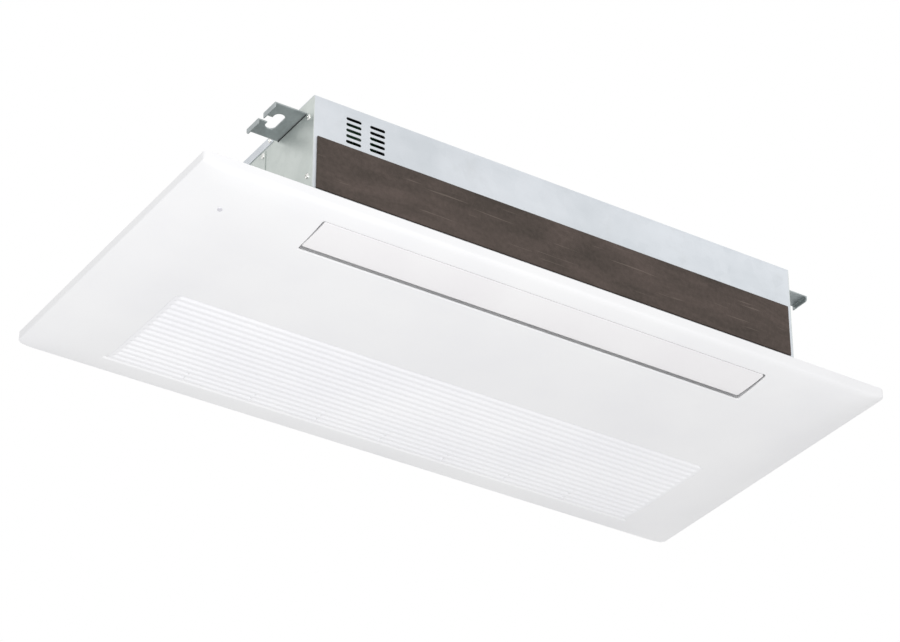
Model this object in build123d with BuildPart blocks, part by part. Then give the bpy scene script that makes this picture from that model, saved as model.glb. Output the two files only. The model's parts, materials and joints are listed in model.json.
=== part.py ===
from build123d import *
import os
from math import cos, radians, sin, sqrt

# Ceiling cassette indoor unit with one air outlet.
# X runs along the unit, -Y is the outlet side, +Z is up.
# The origin is the middle of the trim panel on the ceiling plane.

# Trim panel
panel_length = 1180.0
panel_depth = 570.0
panel_rim = 14.5
dome_rise = 21.8
end_rise = 23.8
end_slope = 130.0
panel_wall = 2.5
panel_corner = 8.0
rib_top_gap = 7.0
rib_pitch = 30.0
rib_count = 3
rib_wall = 1.8

# Casing of folded sheet
casing_length = 840.0
casing_depth = 525.0
casing_height = 155.0
casing_lift = 5.0
casing_setback = 6.0
sheet = 1.0
fold = 18.0
top_fold = 14.0
top_fold_start = 113.0

# Front foam sheet and vent slots
foam_thickness = 3.0
foam_side_margin = 6.5
foam_bottom_margin = 0.5
foam_height = 86.0
vent_length = 25.0
vent_height = 5.2
vent_column_pitch = 39.0
vent_pitch = 9.7
vent_rows = 5
vent_from_end = 85.0
vent_from_top = 39.0

# Hanger lugs
hanger_reach = 51.0
hanger_width = 81.0
hanger_plate = 2.2
hanger_drop = 21.2
hanger_from_face = 60.5
hanger_lip = 7.0
hanger_leg = 20.0
hanger_corner = 4.0
slot_length = 40.0
slot_width = 16.0
slot_from_casing = 28.0
slot_mouth = 14.0

# Screws
screw_head_radius = 4.5
screw_head_height = 2.6
screw_radius = 2.0
screw_length = 8.0
screw_from_face = 13.3
screw_from_top = 30.7
screw_from_bottom = 25.0
panel_screw_radius = 2.5
panel_screw_head = 5.0
panel_screw_head_height = 3.0
panel_screw_length = 17.0

# Fits
seat_gap = 0.3
running_gap = 0.1
pin_gap = 0.05

# Louver and its opening
louver_half_length = 385.5
louver_near = -255.0
louver_far = -183.0
louver_corner = 5.0
louver_end_gap = 3.5
louver_near_gap = 1.2
louver_far_gap = 4.0
louver_thickness = 4.5
louver_recess = 4.6
louver_axis_y = -192.0
louver_axis_z = -16.0
louver_pin_radius = 3.0
louver_boss_radius = 6.0
louver_arm = 3.0
louver_motor_radius = 12.0
louver_motor_length = 18.0
outlet_wall_near = -257.5
outlet_wall_far = -176.0
outlet_wall_end = 388.0

# Intake grille
grille_half_length = 469.5
grille_first = 14.7
grille_pitch = 13.53
grille_count = 17
grille_gap = 0.6
grille_wall = 7.0
groove_width = 8.0
groove_depth = 3.0
groove_end_margin = 6.5
slot_gap = 3.0
slot_end_margin = 11.5
cross_rib = 2.0
cross_rib_height = 4.0
cross_rib_pitch = 115.0
cross_rib_count = 7
intake_wall_end = 474.0
intake_wall_near = 8.0
intake_wall_far = 246.0
hinge_depth = 3.9
hinge_gap = 1.4
hinge_radius = 3.0
hinge_pin_radius = 1.5
hinge_knuckle = 10.0
hinge_ear = 5.0
hinge_spacing = 300.0
catch_spacing = 300.0
catch_length = 20.0

# Panel back plate and gasket
back_plate = 2.5
gasket_bottom = -1.0
intake_half_length = 395.0
gasket_margin = 10.0
gasket_far = 243.0
gasket_near = -270.0

# Air filter
filter_half_length = 450.0
filter_near = 24.0
filter_far = 226.0
filter_bottom = -20.0
filter_height = 6.0
filter_border = 8.0
filter_bar = 3.0
filter_bars = 8
filter_mesh = 0.8
filter_post_radius = 3.0

# Receiver
receiver_x = -523.0
receiver_y = -208.0
receiver_radius = 3.5
receiver_board_z = -14.0
receiver_board_length = 30.0
receiver_board_width = 20.0
board_thickness = 1.6

# Air outlet in the casing
duct_half_length = 353.0
duct_near = -263.0
duct_far = -175.0
duct_wall = 3.0
duct_top = 50.0

# Guide vanes
vane_count = 8
vane_pitch = 87.5
vane_thickness = 2.0
vane_top = 46.0
vane_bottom = 10.0
vane_pivot_z = 36.0
vane_link_z = 14.0
vane_pin_radius = 2.0
vane_side_gap = 1.5
vane_boss_radius = 3.5
link_pin_radius = 1.5
link_near = -184.0
link_far = -181.0
link_notch = -187.0
link_height = 7.0
link_overhang = 7.0
link_notch_top = 22.0

# Fan
fan_y = -122.0
fan_z = 94.0
fan_radius = 45.0
fan_inner_radius = 34.0
fan_left = -345.0
fan_right = 330.0
blade_count = 20
blade_thickness = 1.2
blade_tilt = 25.0
fan_discs = 6
disc_thickness = 2.0
hub_radius = 10.0
hub_length = 14.0
shaft_radius = 4.0
bush_radius = 12.0
bush_flange = 16.0
motor_radius = 34.0
motor_length = 46.0
motor_bore_depth = 20.0
bracket_plate = 3.0
bracket_ring = 3.0
bracket_depth = 20.0

# Partitions, drain pan and intake
partition_x = 358.0
intake_near = 6.0
intake_far = 236.0
intake_half = 350.0
pan_back = 0.0
pan_wall = 4.0
pan_front = -92.0
pan_floor = 14.0
pan_height = 40.0
pan_end = 405.0
tongue_height = 43.5

# Coil
coil_foot_y = -48.0
coil_foot_z = 22.0
coil_tilt = 28.7
coil_height = 146.0
coil_thickness = 28.0
coil_half_length = 322.0
coil_plate = 1.5
coil_row_offset = 7.0
coil_tube_radius = 3.5
coil_tubes_per_row = 6
coil_tube_pitch = 23.0
coil_first_tube = 15.0
coil_bend_x = 325.0
coil_tube_end = 335.0
fin_groove = 1.2
fin_groove_depth = 4.0
fin_groove_pitch = 16.0
fin_groove_count = 39

# Refrigerant pipes
liquid_radius = 3.175
gas_radius = 6.35
pipe_exit_y = 95.0
liquid_exit_z = 120.0
gas_exit_z = 70.0
liquid_turn_x = 375.0
gas_turn_x = 395.0
union_length = 28.0
union_hex_length = 12.0
liquid_thread_radius = 5.56
gas_thread_radius = 9.53
pipe_in_union = 20.0

# Condensate pump, outlet and float
pump_x = 385.0
pump_y = -58.0
pump_body_radius = 24.0
pump_body_bottom = 58.0
pump_body_top = 100.0
pump_cap_top = 122.0
pump_tube_radius = 15.0
pump_tube_bore = 12.5
pump_tube_bottom = 18.0
impeller_radius = 11.0
impeller_bottom = 20.0
impeller_top = 48.0
drain_z = 85.0
drain_radius = 12.5
drain_bore = 9.5
drain_length = 42.0
drain_flange_radius = 18.0
float_y = -18.0
float_radius = 8.0
float_bottom = 22.0
float_height = 10.0
float_travel = 8.0
float_stem_radius = 3.0
float_stem_bottom = 16.0
float_stem_top = 50.0

# Electrical pieces
tray_left = -412.0
tray_right = -290.0
tray_depth = 41.7
tray_bottom = 97.0
tray_top = 157.0
board_from_tray = 5.0
cover_near = -145.0
cover_far = 80.0
cover_bottom = 22.0
cover_top = 142.0
cover_margin = 12.0
grommet_y = 40.0
grommet_z = 52.0
grommet_pitch = 34.0
grommet_bore = 8.0
grommet_radius = 11.0
grommet_flange = 13.5
terminal_near = -60.0
terminal_far = 20.0
terminal_bottom = 60.0
terminal_top = 82.0
terminal_depth = 24.0

# Values worked out from the sizes above
half_length = panel_length / 2
half_depth = panel_depth / 2
half_casing = casing_length / 2
inner_x = half_casing - sheet
front_y = -half_depth + casing_setback
rear_y = front_y + casing_depth
under_z = casing_lift
floor_z = under_z + sheet
roof_z = under_z + casing_height
wall_top = roof_z - sheet
front_in = front_y + sheet
rear_in = rear_y - sheet
middle_y = (front_y + rear_y) / 2
hanger_z = roof_z - hanger_drop
hanger_front_y = front_y + hanger_from_face
hanger_rear_y = 2 * middle_y - hanger_front_y
fan_length = fan_right - fan_left
deep = 60.0


def depth_across(y):
    """Depth of the dome below the ceiling, measured across the panel."""
    share = min(abs(y) / half_depth, 1.0)
    return panel_rim + dome_rise * sqrt(1 - share**3)


def depth_along(x):
    """Depth of the dome below the ceiling, measured along the panel."""
    share = min((half_length - abs(x)) / end_slope, 1.0)
    return panel_rim + end_rise * (1 - (1 - share) ** 1.8) ** 0.9


def block(x_pair, y_pair, z_pair, mode=Mode.ADD):
    """Upright block between two values on each axis."""
    middle = [(pair[0] + pair[1]) / 2 for pair in (x_pair, y_pair, z_pair)]
    size = [abs(pair[1] - pair[0]) for pair in (x_pair, y_pair, z_pair)]
    with Locations(tuple(middle)):
        Box(*size, mode=mode)


def rod_x(x_pair, y, z, radius, mode=Mode.ADD):
    """Round bar along X between two values."""
    length = abs(x_pair[1] - x_pair[0])
    with Locations(Location(((x_pair[0] + x_pair[1]) / 2, y, z), (0, 90, 0))):
        Cylinder(radius, length, mode=mode)


def rod_y(x, y_pair, z, radius, mode=Mode.ADD):
    """Round bar along Y between two values."""
    length = abs(y_pair[1] - y_pair[0])
    with Locations(Location((x, (y_pair[0] + y_pair[1]) / 2, z), (90, 0, 0))):
        Cylinder(radius, length, mode=mode)


def rod_z(x, y, z_pair, radius, mode=Mode.ADD):
    """Round bar along Z between two values."""
    with Locations((x, y, (z_pair[0] + z_pair[1]) / 2)):
        Cylinder(radius, abs(z_pair[1] - z_pair[0]), mode=mode)


def save(part, name):
    """Label a finished piece and write it to its own file."""
    part.label = name
    export_step(part, f"parts/{name}.step")


os.makedirs("parts", exist_ok=True)

# Dome of the trim panel
# The dome is where two long profiles and the outline of the panel meet.
across_shares = (0, 0.15, 0.35, 0.55, 0.7, 0.8, 0.88, 0.94, 0.98, 1)
along_shares = (0, 0.04, 0.12, 0.25, 0.42, 0.6, 0.8, 1)


def dome(inset, top):
    """Solid under the dome, drawn in from the outer surface by an inset."""
    width_scale = (half_depth - inset) / half_depth
    length_scale = (half_length - inset) / half_length
    across = [share * half_depth for share in across_shares]
    across = [-y for y in reversed(across[1:])] + across
    along = [half_length - share * end_slope for share in along_shares]
    across_points = [(y * width_scale, inset - depth_across(y)) for y in across]
    right_points = [(x * length_scale, inset - depth_along(x)) for x in along]
    left_points = [(-x, z) for x, z in right_points]
    with BuildPart() as solid:
        with BuildSketch(Plane.YZ):
            with BuildLine():
                Spline(*across_points)
                Polyline(
                    across_points[-1],
                    (across_points[-1][0], top),
                    (across_points[0][0], top),
                    across_points[0],
                )
            make_face()
        extrude(amount=half_length, both=True)
        with BuildSketch(Plane.XZ):
            with BuildLine():
                Spline(*right_points)
                Line(right_points[-1], left_points[-1])
                Spline(*reversed(left_points))
                Polyline(
                    left_points[0],
                    (left_points[0][0], top),
                    (right_points[0][0], top),
                    right_points[0],
                )
            make_face()
        extrude(amount=half_depth, both=True, mode=Mode.INTERSECT)
        with BuildSketch(Plane.XY.offset(-deep)):
            RectangleRounded(
                2 * (half_length - inset),
                2 * (half_depth - inset),
                panel_corner - inset * (panel_corner > 2 * inset),
            )
        extrude(amount=deep + top, mode=Mode.INTERSECT)
    return solid.part


dome_outer = dome(0, 0)
dome_inner = dome(panel_wall, panel_wall)
grille_inner = dome(grille_wall, grille_wall)

groove_lines = [grille_first + grille_pitch * k for k in range(grille_count)]
hinge_y = groove_lines[-1]
hinge_z = hinge_depth - depth_across(hinge_y)
door_near = groove_lines[0] + grille_gap / 2
door_far = hinge_y - hinge_gap
hinge_places = (-hinge_spacing, 0, hinge_spacing)


def cut_groove(y, half):
    """Cut one groove of the grille along X, centred on a line of the dome."""
    surface = -depth_across(y)
    with BuildSketch(Plane.YZ) as groove:
        with BuildLine():
            Polyline(
                (y - groove_width / 2, surface - groove_depth),
                (y - groove_width / 2, surface),
                (y - slot_gap / 2, surface + groove_depth),
                (y + slot_gap / 2, surface + groove_depth),
                (y + groove_width / 2, surface),
                (y + groove_width / 2, surface - groove_depth),
                close=True,
            )
        make_face()
    extrude(groove.sketch, amount=half, both=True, mode=Mode.SUBTRACT)


# Inner walls, back plate and ribs of the trim panel
back_top = gasket_bottom
back_bottom = back_top - back_plate
with BuildPart() as panel_walls:
    with BuildSketch(Plane.XY.offset(back_top)):
        with Locations((0, (outlet_wall_near + outlet_wall_far) / 2)):
            Rectangle(
                2 * (outlet_wall_end + panel_wall),
                outlet_wall_far - outlet_wall_near + 2 * panel_wall,
            )
            Rectangle(2 * outlet_wall_end, outlet_wall_far - outlet_wall_near, mode=Mode.SUBTRACT)
    extrude(amount=-deep)
    with BuildSketch(Plane.XY.offset(back_top)):
        with Locations((0, (intake_wall_near + intake_wall_far) / 2)):
            Rectangle(
                2 * (intake_wall_end + panel_wall),
                intake_wall_far - intake_wall_near + 2 * panel_wall,
            )
            Rectangle(2 * intake_wall_end, intake_wall_far - intake_wall_near, mode=Mode.SUBTRACT)
    extrude(amount=-deep)
    block(
        (-intake_wall_end - panel_wall, intake_wall_end + panel_wall),
        (outlet_wall_near - panel_wall, intake_wall_far + panel_wall),
        (back_bottom, back_top),
    )
    block(
        (-outlet_wall_end, outlet_wall_end),
        (outlet_wall_near, outlet_wall_far),
        (back_bottom - 1, back_top + 1),
        mode=Mode.SUBTRACT,
    )
    block(
        (-intake_half_length, intake_half_length),
        (intake_wall_near, intake_wall_far - intake_wall_near),
        (back_bottom - 1, back_top + 1),
        mode=Mode.SUBTRACT,
    )
    for side in (-1, 1):
        for number in range(rib_count):
            rib_x = side * (intake_wall_end + panel_wall + rib_pitch * (number + 0.9))
            block(
                (rib_x - rib_wall / 2, rib_x + rib_wall / 2),
                (-half_depth, half_depth),
                (-deep, -rib_top_gap),
            )
        block(
            (
                receiver_x - receiver_board_length / 2 - seat_gap,
                receiver_x + receiver_board_length / 2 + seat_gap,
            ),
            (
                receiver_y - receiver_board_width / 2 - seat_gap,
                receiver_y + receiver_board_width / 2 + seat_gap,
            ),
            (receiver_board_z, 0),
            mode=Mode.SUBTRACT,
        )
        rod_z(
            receiver_x + side * (receiver_board_length / 2 - 3),
            receiver_y,
            (-deep, receiver_board_z),
            2.5,
        )
    rod_z(receiver_x, receiver_y, (-deep, receiver_board_z), receiver_radius + 2)
    add(dome_outer, mode=Mode.INTERSECT)

# Trim panel
opening_low = -deep
opening_high = filter_bottom
panel_screw_x = (intake_half_length + intake_half_length + gasket_margin) / 2
panel_screw_places = [(x, y) for x in (-panel_screw_x, panel_screw_x) for y in (40.0, 205.0)]
with BuildPart() as panel_frame:
    add(dome_outer)
    add(dome_inner, mode=Mode.SUBTRACT)
    add(panel_walls.part)
    with BuildSketch(Plane.XY.offset(opening_low)):
        with Locations((0, (louver_near + louver_far) / 2)):
            RectangleRounded(2 * louver_half_length, louver_far - louver_near, louver_corner)
    extrude(amount=opening_high - opening_low, mode=Mode.SUBTRACT)
    block(
        (-grille_half_length - grille_gap, grille_half_length + grille_gap),
        (door_near - grille_gap, hinge_y + hinge_gap),
        (opening_low, opening_high),
        mode=Mode.SUBTRACT,
    )
    cut_groove(groove_lines[0], grille_half_length - groove_end_margin)
    cut_groove(hinge_y, grille_half_length + grille_gap)
    for place in hinge_places:
        rod_x(
            (place - hinge_knuckle / 2 - seat_gap, place + hinge_knuckle / 2 + seat_gap),
            hinge_y,
            hinge_z,
            hinge_radius + 2 * seat_gap,
            mode=Mode.SUBTRACT,
        )
        for side in (-1, 1):
            ear_in = place + side * (hinge_knuckle / 2 + seat_gap)
            ear_out = ear_in + side * hinge_ear
            rod_x((ear_in, ear_out), hinge_y, hinge_z, hinge_radius)
            block((ear_in, ear_out), (hinge_y, hinge_y + 8), (hinge_z - 1.4, hinge_z + 2.2))
        rod_x(
            (place - hinge_knuckle - hinge_ear, place + hinge_knuckle + hinge_ear),
            hinge_y,
            hinge_z,
            hinge_pin_radius + pin_gap,
            mode=Mode.SUBTRACT,
        )
    rod_x(
        (-outlet_wall_end - 2 * panel_wall, outlet_wall_end + 2 * panel_wall),
        louver_axis_y,
        louver_axis_z,
        louver_pin_radius + running_gap,
        mode=Mode.SUBTRACT,
    )
    rod_z(receiver_x, receiver_y, (-deep, 0), receiver_radius + seat_gap, mode=Mode.SUBTRACT)
    for x, y in panel_screw_places:
        rod_z(x, y, (back_bottom - 1, 0), panel_screw_radius + running_gap, mode=Mode.SUBTRACT)
save(panel_frame.part, "panel_frame")

# Intake grille
with BuildPart() as intake_grille:
    block(
        (-grille_half_length, grille_half_length),
        (door_near, door_far),
        (-deep, 0),
    )
    add(dome_outer, mode=Mode.INTERSECT)
    add(grille_inner, mode=Mode.SUBTRACT)
    for line in groove_lines[:-1]:
        cut_groove(line, grille_half_length - groove_end_margin)
    cut_groove(hinge_y, grille_half_length + grille_gap)
    for line in groove_lines[1:-1]:
        block(
            (slot_end_margin - grille_half_length, grille_half_length - slot_end_margin),
            (line - slot_gap / 2, line + slot_gap / 2),
            (-deep, 0),
            mode=Mode.SUBTRACT,
        )
    rib_low = groove_depth + 1 - depth_across(0)
    for number in range(cross_rib_count):
        rib_x = (number - (cross_rib_count - 1) / 2) * cross_rib_pitch
        block(
            (rib_x - cross_rib / 2, rib_x + cross_rib / 2),
            (door_near + 2, door_far - 4),
            (rib_low + 1.5, grille_wall + cross_rib_height - depth_across(0)),
        )
    for place in hinge_places:
        for side in (-1, 1):
            ear_in = place + side * hinge_knuckle / 2
            ear_out = ear_in + side * (hinge_ear + 2 * seat_gap)
            rod_x(
                (ear_in, ear_out),
                hinge_y,
                hinge_z,
                hinge_radius + 2 * seat_gap,
                mode=Mode.SUBTRACT,
            )
        knuckle = (place - hinge_knuckle / 2, place + hinge_knuckle / 2)
        rod_x(knuckle, hinge_y, hinge_z, hinge_radius)
        block(knuckle, (hinge_y - 7, hinge_y), (hinge_z - 1.4, hinge_z + 2.2))
        rod_x(knuckle, hinge_y, hinge_z, hinge_pin_radius + pin_gap, mode=Mode.SUBTRACT)
    for x in (-filter_half_length + 5, -cross_rib_pitch * 1.5, cross_rib_pitch * 1.5, filter_half_length - 5):
        for y in (filter_near + 4, filter_far - 4):
            rod_z(x, y, (-depth_across(y) + grille_wall - 1, filter_bottom - seat_gap), filter_post_radius)
save(intake_grille.part, "intake_grille")

# Pins of the grille hinge
with BuildPart() as grille_hinge_pins:
    for place in hinge_places:
        pin_half = hinge_knuckle / 2 + seat_gap + hinge_ear
        rod_x((place - pin_half, place + pin_half), hinge_y, hinge_z, hinge_pin_radius)
save(grille_hinge_pins.part, "grille_hinge_pins")

# Magnets on the panel and keepers on the grille
keeper_top = grille_wall + 3 - depth_across(door_near)
with BuildPart() as catch_magnets:
    for x in (-catch_spacing, catch_spacing):
        block(
            (x - catch_length / 2, x + catch_length / 2),
            (intake_wall_near, intake_wall_near + 12),
            (keeper_top + seat_gap, keeper_top + 9),
        )
save(catch_magnets.part, "catch_magnets")

with BuildPart() as catch_keepers:
    for x in (-catch_spacing, catch_spacing):
        block(
            (x - catch_length / 2, x + catch_length / 2),
            (door_near + 0.4, intake_wall_near + 14),
            (grille_wall + running_gap - depth_across(intake_wall_near + 14), keeper_top),
        )
save(catch_keepers.part, "catch_keepers")

# Air filter
filter_y = (filter_near + filter_far) / 2
with BuildPart() as air_filter_frame:
    with BuildSketch(Plane.XY.offset(filter_bottom)):
        with Locations((0, filter_y)):
            Rectangle(2 * filter_half_length, filter_far - filter_near)
            Rectangle(
                2 * (filter_half_length - filter_border),
                filter_far - filter_near - 2 * filter_border,
                mode=Mode.SUBTRACT,
            )
            with GridLocations(2 * filter_half_length / (filter_bars + 1), 0, filter_bars, 1):
                Rectangle(filter_bar, filter_far - filter_near)
            Rectangle(2 * filter_half_length, filter_bar)
    extrude(amount=filter_height)
    block(
        (-filter_half_length + filter_border / 2, filter_half_length - filter_border / 2),
        (filter_near + filter_border / 2, filter_far - filter_border / 2),
        (filter_bottom + filter_height / 2, filter_bottom + filter_height / 2 + filter_mesh),
        mode=Mode.SUBTRACT,
    )
save(air_filter_frame.part, "air_filter_frame")

with BuildPart() as air_filter_mesh:
    block(
        (-filter_half_length + filter_border / 2, filter_half_length - filter_border / 2),
        (filter_near + filter_border / 2, filter_far - filter_border / 2),
        (filter_bottom + filter_height / 2, filter_bottom + filter_height / 2 + filter_mesh),
    )
save(air_filter_mesh.part, "air_filter_mesh")

# Louver blade
blade_near = louver_near + louver_near_gap
blade_far = louver_far - louver_far_gap
blade_half = louver_half_length - louver_end_gap
near_z = -depth_across(louver_near)
far_z = louver_recess - depth_across(louver_far)
bulge = 1.2
with BuildPart() as louver_blade:
    with BuildSketch(Plane.YZ):
        with BuildLine():
            middle = ((blade_near + blade_far) / 2, (near_z + far_z) / 2 - bulge)
            ThreePointArc((blade_near, near_z), middle, (blade_far, far_z))
            Line((blade_far, far_z), (blade_far - 1, far_z + louver_thickness))
            ThreePointArc(
                (blade_far - 1, far_z + louver_thickness),
                (middle[0], middle[1] + louver_thickness),
                (blade_near + 1, near_z + louver_thickness),
            )
            Line((blade_near + 1, near_z + louver_thickness), (blade_near, near_z))
        make_face()
    extrude(amount=blade_half, both=True)
    for side in (-1, 1):
        arm = (side * (blade_half - louver_arm), side * blade_half)
        rod_x(arm, louver_axis_y, louver_axis_z, louver_boss_radius)
        block(
            arm,
            (louver_axis_y - louver_boss_radius, louver_axis_y + 3),
            (far_z + louver_thickness / 2, louver_axis_z),
        )
        pin_end = outlet_wall_end + panel_wall + (6 if side < 0 else 0)
        rod_x((side * (blade_half - 1), side * pin_end), louver_axis_y, louver_axis_z, louver_pin_radius)
save(louver_blade.part, "louver_blade")

# Louver motor
motor_face = -outlet_wall_end - panel_wall
with BuildPart() as louver_motor:
    rod_x((motor_face - louver_motor_length, motor_face), louver_axis_y, louver_axis_z, louver_motor_radius)
    block(
        (motor_face - 2, motor_face),
        (louver_axis_y - 19, louver_axis_y + 19),
        (louver_axis_z - 4, louver_axis_z + 4),
    )
    rod_x(
        (motor_face - 7, motor_face),
        louver_axis_y,
        louver_axis_z,
        louver_pin_radius + running_gap,
        mode=Mode.SUBTRACT,
    )
save(louver_motor.part, "louver_motor")

# Receiver lens and board
with BuildPart() as receiver_lens:
    rod_z(receiver_x, receiver_y, (-deep, receiver_board_z), receiver_radius)
    add(dome_outer, mode=Mode.INTERSECT)
save(receiver_lens.part, "receiver_lens")

with BuildPart() as receiver_board:
    block(
        (receiver_x - receiver_board_length / 2, receiver_x + receiver_board_length / 2),
        (receiver_y - receiver_board_width / 2, receiver_y + receiver_board_width / 2),
        (receiver_board_z, receiver_board_z + board_thickness),
    )
    block(
        (receiver_x - 5, receiver_x + 5),
        (receiver_y - 4, receiver_y + 4),
        (receiver_board_z + board_thickness, receiver_board_z + board_thickness + 5),
    )
save(receiver_board.part, "receiver_board")

# Gasket between the panel and the casing
gasket_half = intake_half_length + gasket_margin
with BuildPart() as panel_gasket:
    with BuildSketch(Plane.XY.offset(gasket_bottom)):
        with Locations((0, (gasket_near + gasket_far) / 2)):
            Rectangle(2 * gasket_half, gasket_far - gasket_near)
        with Locations((0, (duct_near + duct_far) / 2)):
            Rectangle(2 * outlet_wall_end, duct_far - duct_near, mode=Mode.SUBTRACT)
        with Locations((0, (intake_wall_near + intake_wall_far - intake_wall_near) / 2)):
            Rectangle(
                2 * intake_half_length,
                intake_wall_far - 2 * intake_wall_near,
                mode=Mode.SUBTRACT,
            )
        with Locations(*panel_screw_places):
            Circle(panel_screw_radius + running_gap, mode=Mode.SUBTRACT)
    extrude(amount=under_z - gasket_bottom)
save(panel_gasket.part, "panel_gasket")

# Screws that hold the panel to the casing
with BuildPart() as panel_screws:
    for x, y in panel_screw_places:
        rod_z(x, y, (back_bottom - panel_screw_head_height, back_bottom), panel_screw_head)
        rod_z(x, y, (back_bottom, back_bottom + panel_screw_length), panel_screw_radius)
        block((x - 3, x + 3), (y - 0.6, y + 0.6), (-deep, back_bottom - 2), mode=Mode.SUBTRACT)
save(panel_screws.part, "panel_screws")

# Base plate of the casing
with BuildPart() as base_plate:
    with BuildSketch(Plane.XY.offset(under_z)):
        with Locations((0, (front_in + rear_in) / 2)):
            Rectangle(2 * inner_x, rear_in - front_in)
        with Locations((0, (duct_near + duct_far) / 2)):
            Rectangle(2 * duct_half_length, duct_far - duct_near, mode=Mode.SUBTRACT)
        with Locations((0, (intake_near + intake_far) / 2)):
            Rectangle(2 * intake_half, intake_far - intake_near, mode=Mode.SUBTRACT)
        with Locations(*panel_screw_places):
            Circle(panel_screw_radius + running_gap, mode=Mode.SUBTRACT)
    extrude(amount=sheet)
save(base_plate.part, "base_plate")

# Screws of the end plates, top and wiring cover
end_screws = [
    (y, z)
    for y in (front_y + screw_from_face, rear_y - screw_from_face)
    for z in (roof_z - screw_from_top, under_z + screw_from_bottom)
]
fold_screw_z = roof_z - top_fold / 2 - sheet / 2
fold_screws = [(front_y + top_fold_start + 8, fold_screw_z), (rear_y - 26.0, fold_screw_z)]
cover_screws = [
    (y, z)
    for y in (cover_near + cover_margin / 2, cover_far - cover_margin / 2)
    for z in (cover_bottom + cover_margin / 2, cover_top - cover_margin / 2)
]


def screw_holes(side, places):
    """Clearance holes through the sheet of one end."""
    for y, z in places:
        rod_x(
            (side * (half_casing + 3 * sheet), side * (half_casing - 3 * sheet)),
            y,
            z,
            screw_radius + running_gap,
            mode=Mode.SUBTRACT,
        )


# Front and rear plates of the casing
with BuildPart() as casing_front:
    block((-inner_x, inner_x), (front_y, front_in), (under_z, wall_top))
    for side in (-1, 1):
        block((side * (inner_x - sheet), side * inner_x), (front_in, front_in + fold), (floor_z, wall_top))
        screw_holes(side, end_screws[:2])
    with BuildSketch(Plane.XZ.offset(-front_y)):
        with Locations((vent_from_end - half_casing, roof_z - vent_from_top)):
            with GridLocations(vent_column_pitch, vent_pitch, 2, vent_rows):
                SlotOverall(vent_length, vent_height)
    extrude(amount=-2 * sheet, mode=Mode.SUBTRACT)
save(casing_front.part, "casing_front")

with BuildPart() as casing_rear:
    block((-inner_x, inner_x), (rear_in, rear_y), (under_z, wall_top))
    for side in (-1, 1):
        block((side * (inner_x - sheet), side * inner_x), (rear_in - fold, rear_in), (floor_z, wall_top))
        screw_holes(side, end_screws[2:])
save(casing_rear.part, "casing_rear")

# End plates
hanger_centres = (hanger_front_y, hanger_rear_y)


def end_plate(side):
    """Plain end plate with the slots for two hanger lugs and its screw holes."""
    block((side * inner_x, side * half_casing), (front_y, rear_y), (under_z, wall_top))
    for centre in hanger_centres:
        block(
            (side * (inner_x - 1), side * (half_casing + 1)),
            (centre - hanger_width / 2 - seat_gap, centre + hanger_width / 2 + seat_gap),
            (hanger_z - seat_gap, hanger_z + hanger_plate + seat_gap),
            mode=Mode.SUBTRACT,
        )
    screw_holes(side, end_screws + fold_screws)


with BuildPart() as end_plate_left:
    end_plate(-1)
    screw_holes(-1, cover_screws)
    block(
        (-half_casing - 1, -inner_x + 1),
        (cover_near + cover_margin, cover_far - cover_margin),
        (cover_bottom + cover_margin, cover_top - cover_margin),
        mode=Mode.SUBTRACT,
    )
save(end_plate_left.part, "end_plate_left")

with BuildPart() as end_plate_right:
    end_plate(1)
    exits = (
        (pump_y, drain_z, drain_radius),
        (pipe_exit_y, liquid_exit_z, liquid_radius),
        (pipe_exit_y, gas_exit_z, gas_radius),
    )
    for y, z, radius in exits:
        rod_x((inner_x - 1, half_casing + 1), y, z, radius + 2 * seat_gap, mode=Mode.SUBTRACT)
save(end_plate_right.part, "end_plate_right")

# Top plate, folded down over the rear part of both ends
with BuildPart() as casing_top:
    block((-half_casing, half_casing), (front_y, rear_y), (wall_top, roof_z))
    for side in (-1, 1):
        block(
            (side * half_casing, side * (half_casing + sheet)),
            (front_y + top_fold_start, rear_y),
            (roof_z - top_fold, roof_z),
        )
        screw_holes(side, fold_screws)
save(casing_top.part, "casing_top")

# Foam sheet on the front of the casing
with BuildPart() as front_foam_sheet:
    block(
        (foam_side_margin - half_casing, half_casing - foam_side_margin),
        (front_y - foam_thickness, front_y),
        (under_z + foam_bottom_margin, under_z + foam_bottom_margin + foam_height),
    )
save(front_foam_sheet.part, "front_foam_sheet")

# Hanger lugs
hanger_out = half_casing + hanger_reach
hanger_in = inner_x - hanger_plate
slot_x = half_casing + slot_from_casing
for side, side_name in ((-1, "left"), (1, "right")):
    for centre, row_name in zip(hanger_centres, ("front", "rear")):
        with BuildPart() as hanger:
            with BuildSketch(Plane.XY.offset(hanger_z)):
                with Locations((side * (hanger_out + hanger_in) / 2, centre)):
                    Rectangle(hanger_out - hanger_in, hanger_width)
                with Locations((side * slot_x, centre)):
                    SlotOverall(slot_length, slot_width, rotation=90, mode=Mode.SUBTRACT)
                with Locations((side * (hanger_out + slot_x) / 2, centre)):
                    Rectangle(hanger_out - slot_x, slot_mouth, mode=Mode.SUBTRACT)
            extrude(amount=hanger_plate)
            for lip_side in (-1, 1):
                block(
                    (side * (hanger_out - hanger_plate), side * hanger_out),
                    (centre + lip_side * slot_mouth / 2, centre + lip_side * hanger_width / 2),
                    (hanger_z - hanger_lip, hanger_z + hanger_plate),
                )
            block(
                (side * hanger_in, side * inner_x),
                (centre - hanger_width / 2, centre + hanger_width / 2),
                (hanger_z - hanger_leg, hanger_z + hanger_plate),
            )
            corner_edges = [
                edge
                for edge in hanger.edges().filter_by(Axis.X)
                if abs(abs(edge.center().Y - centre) - hanger_width / 2) < 0.01
                and abs(edge.center().X) > slot_x
                and edge.center().Z < hanger_z
            ]
            fillet(corner_edges, hanger_corner)
        save(hanger.part, f"hanger_{row_name}_{side_name}")

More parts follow.
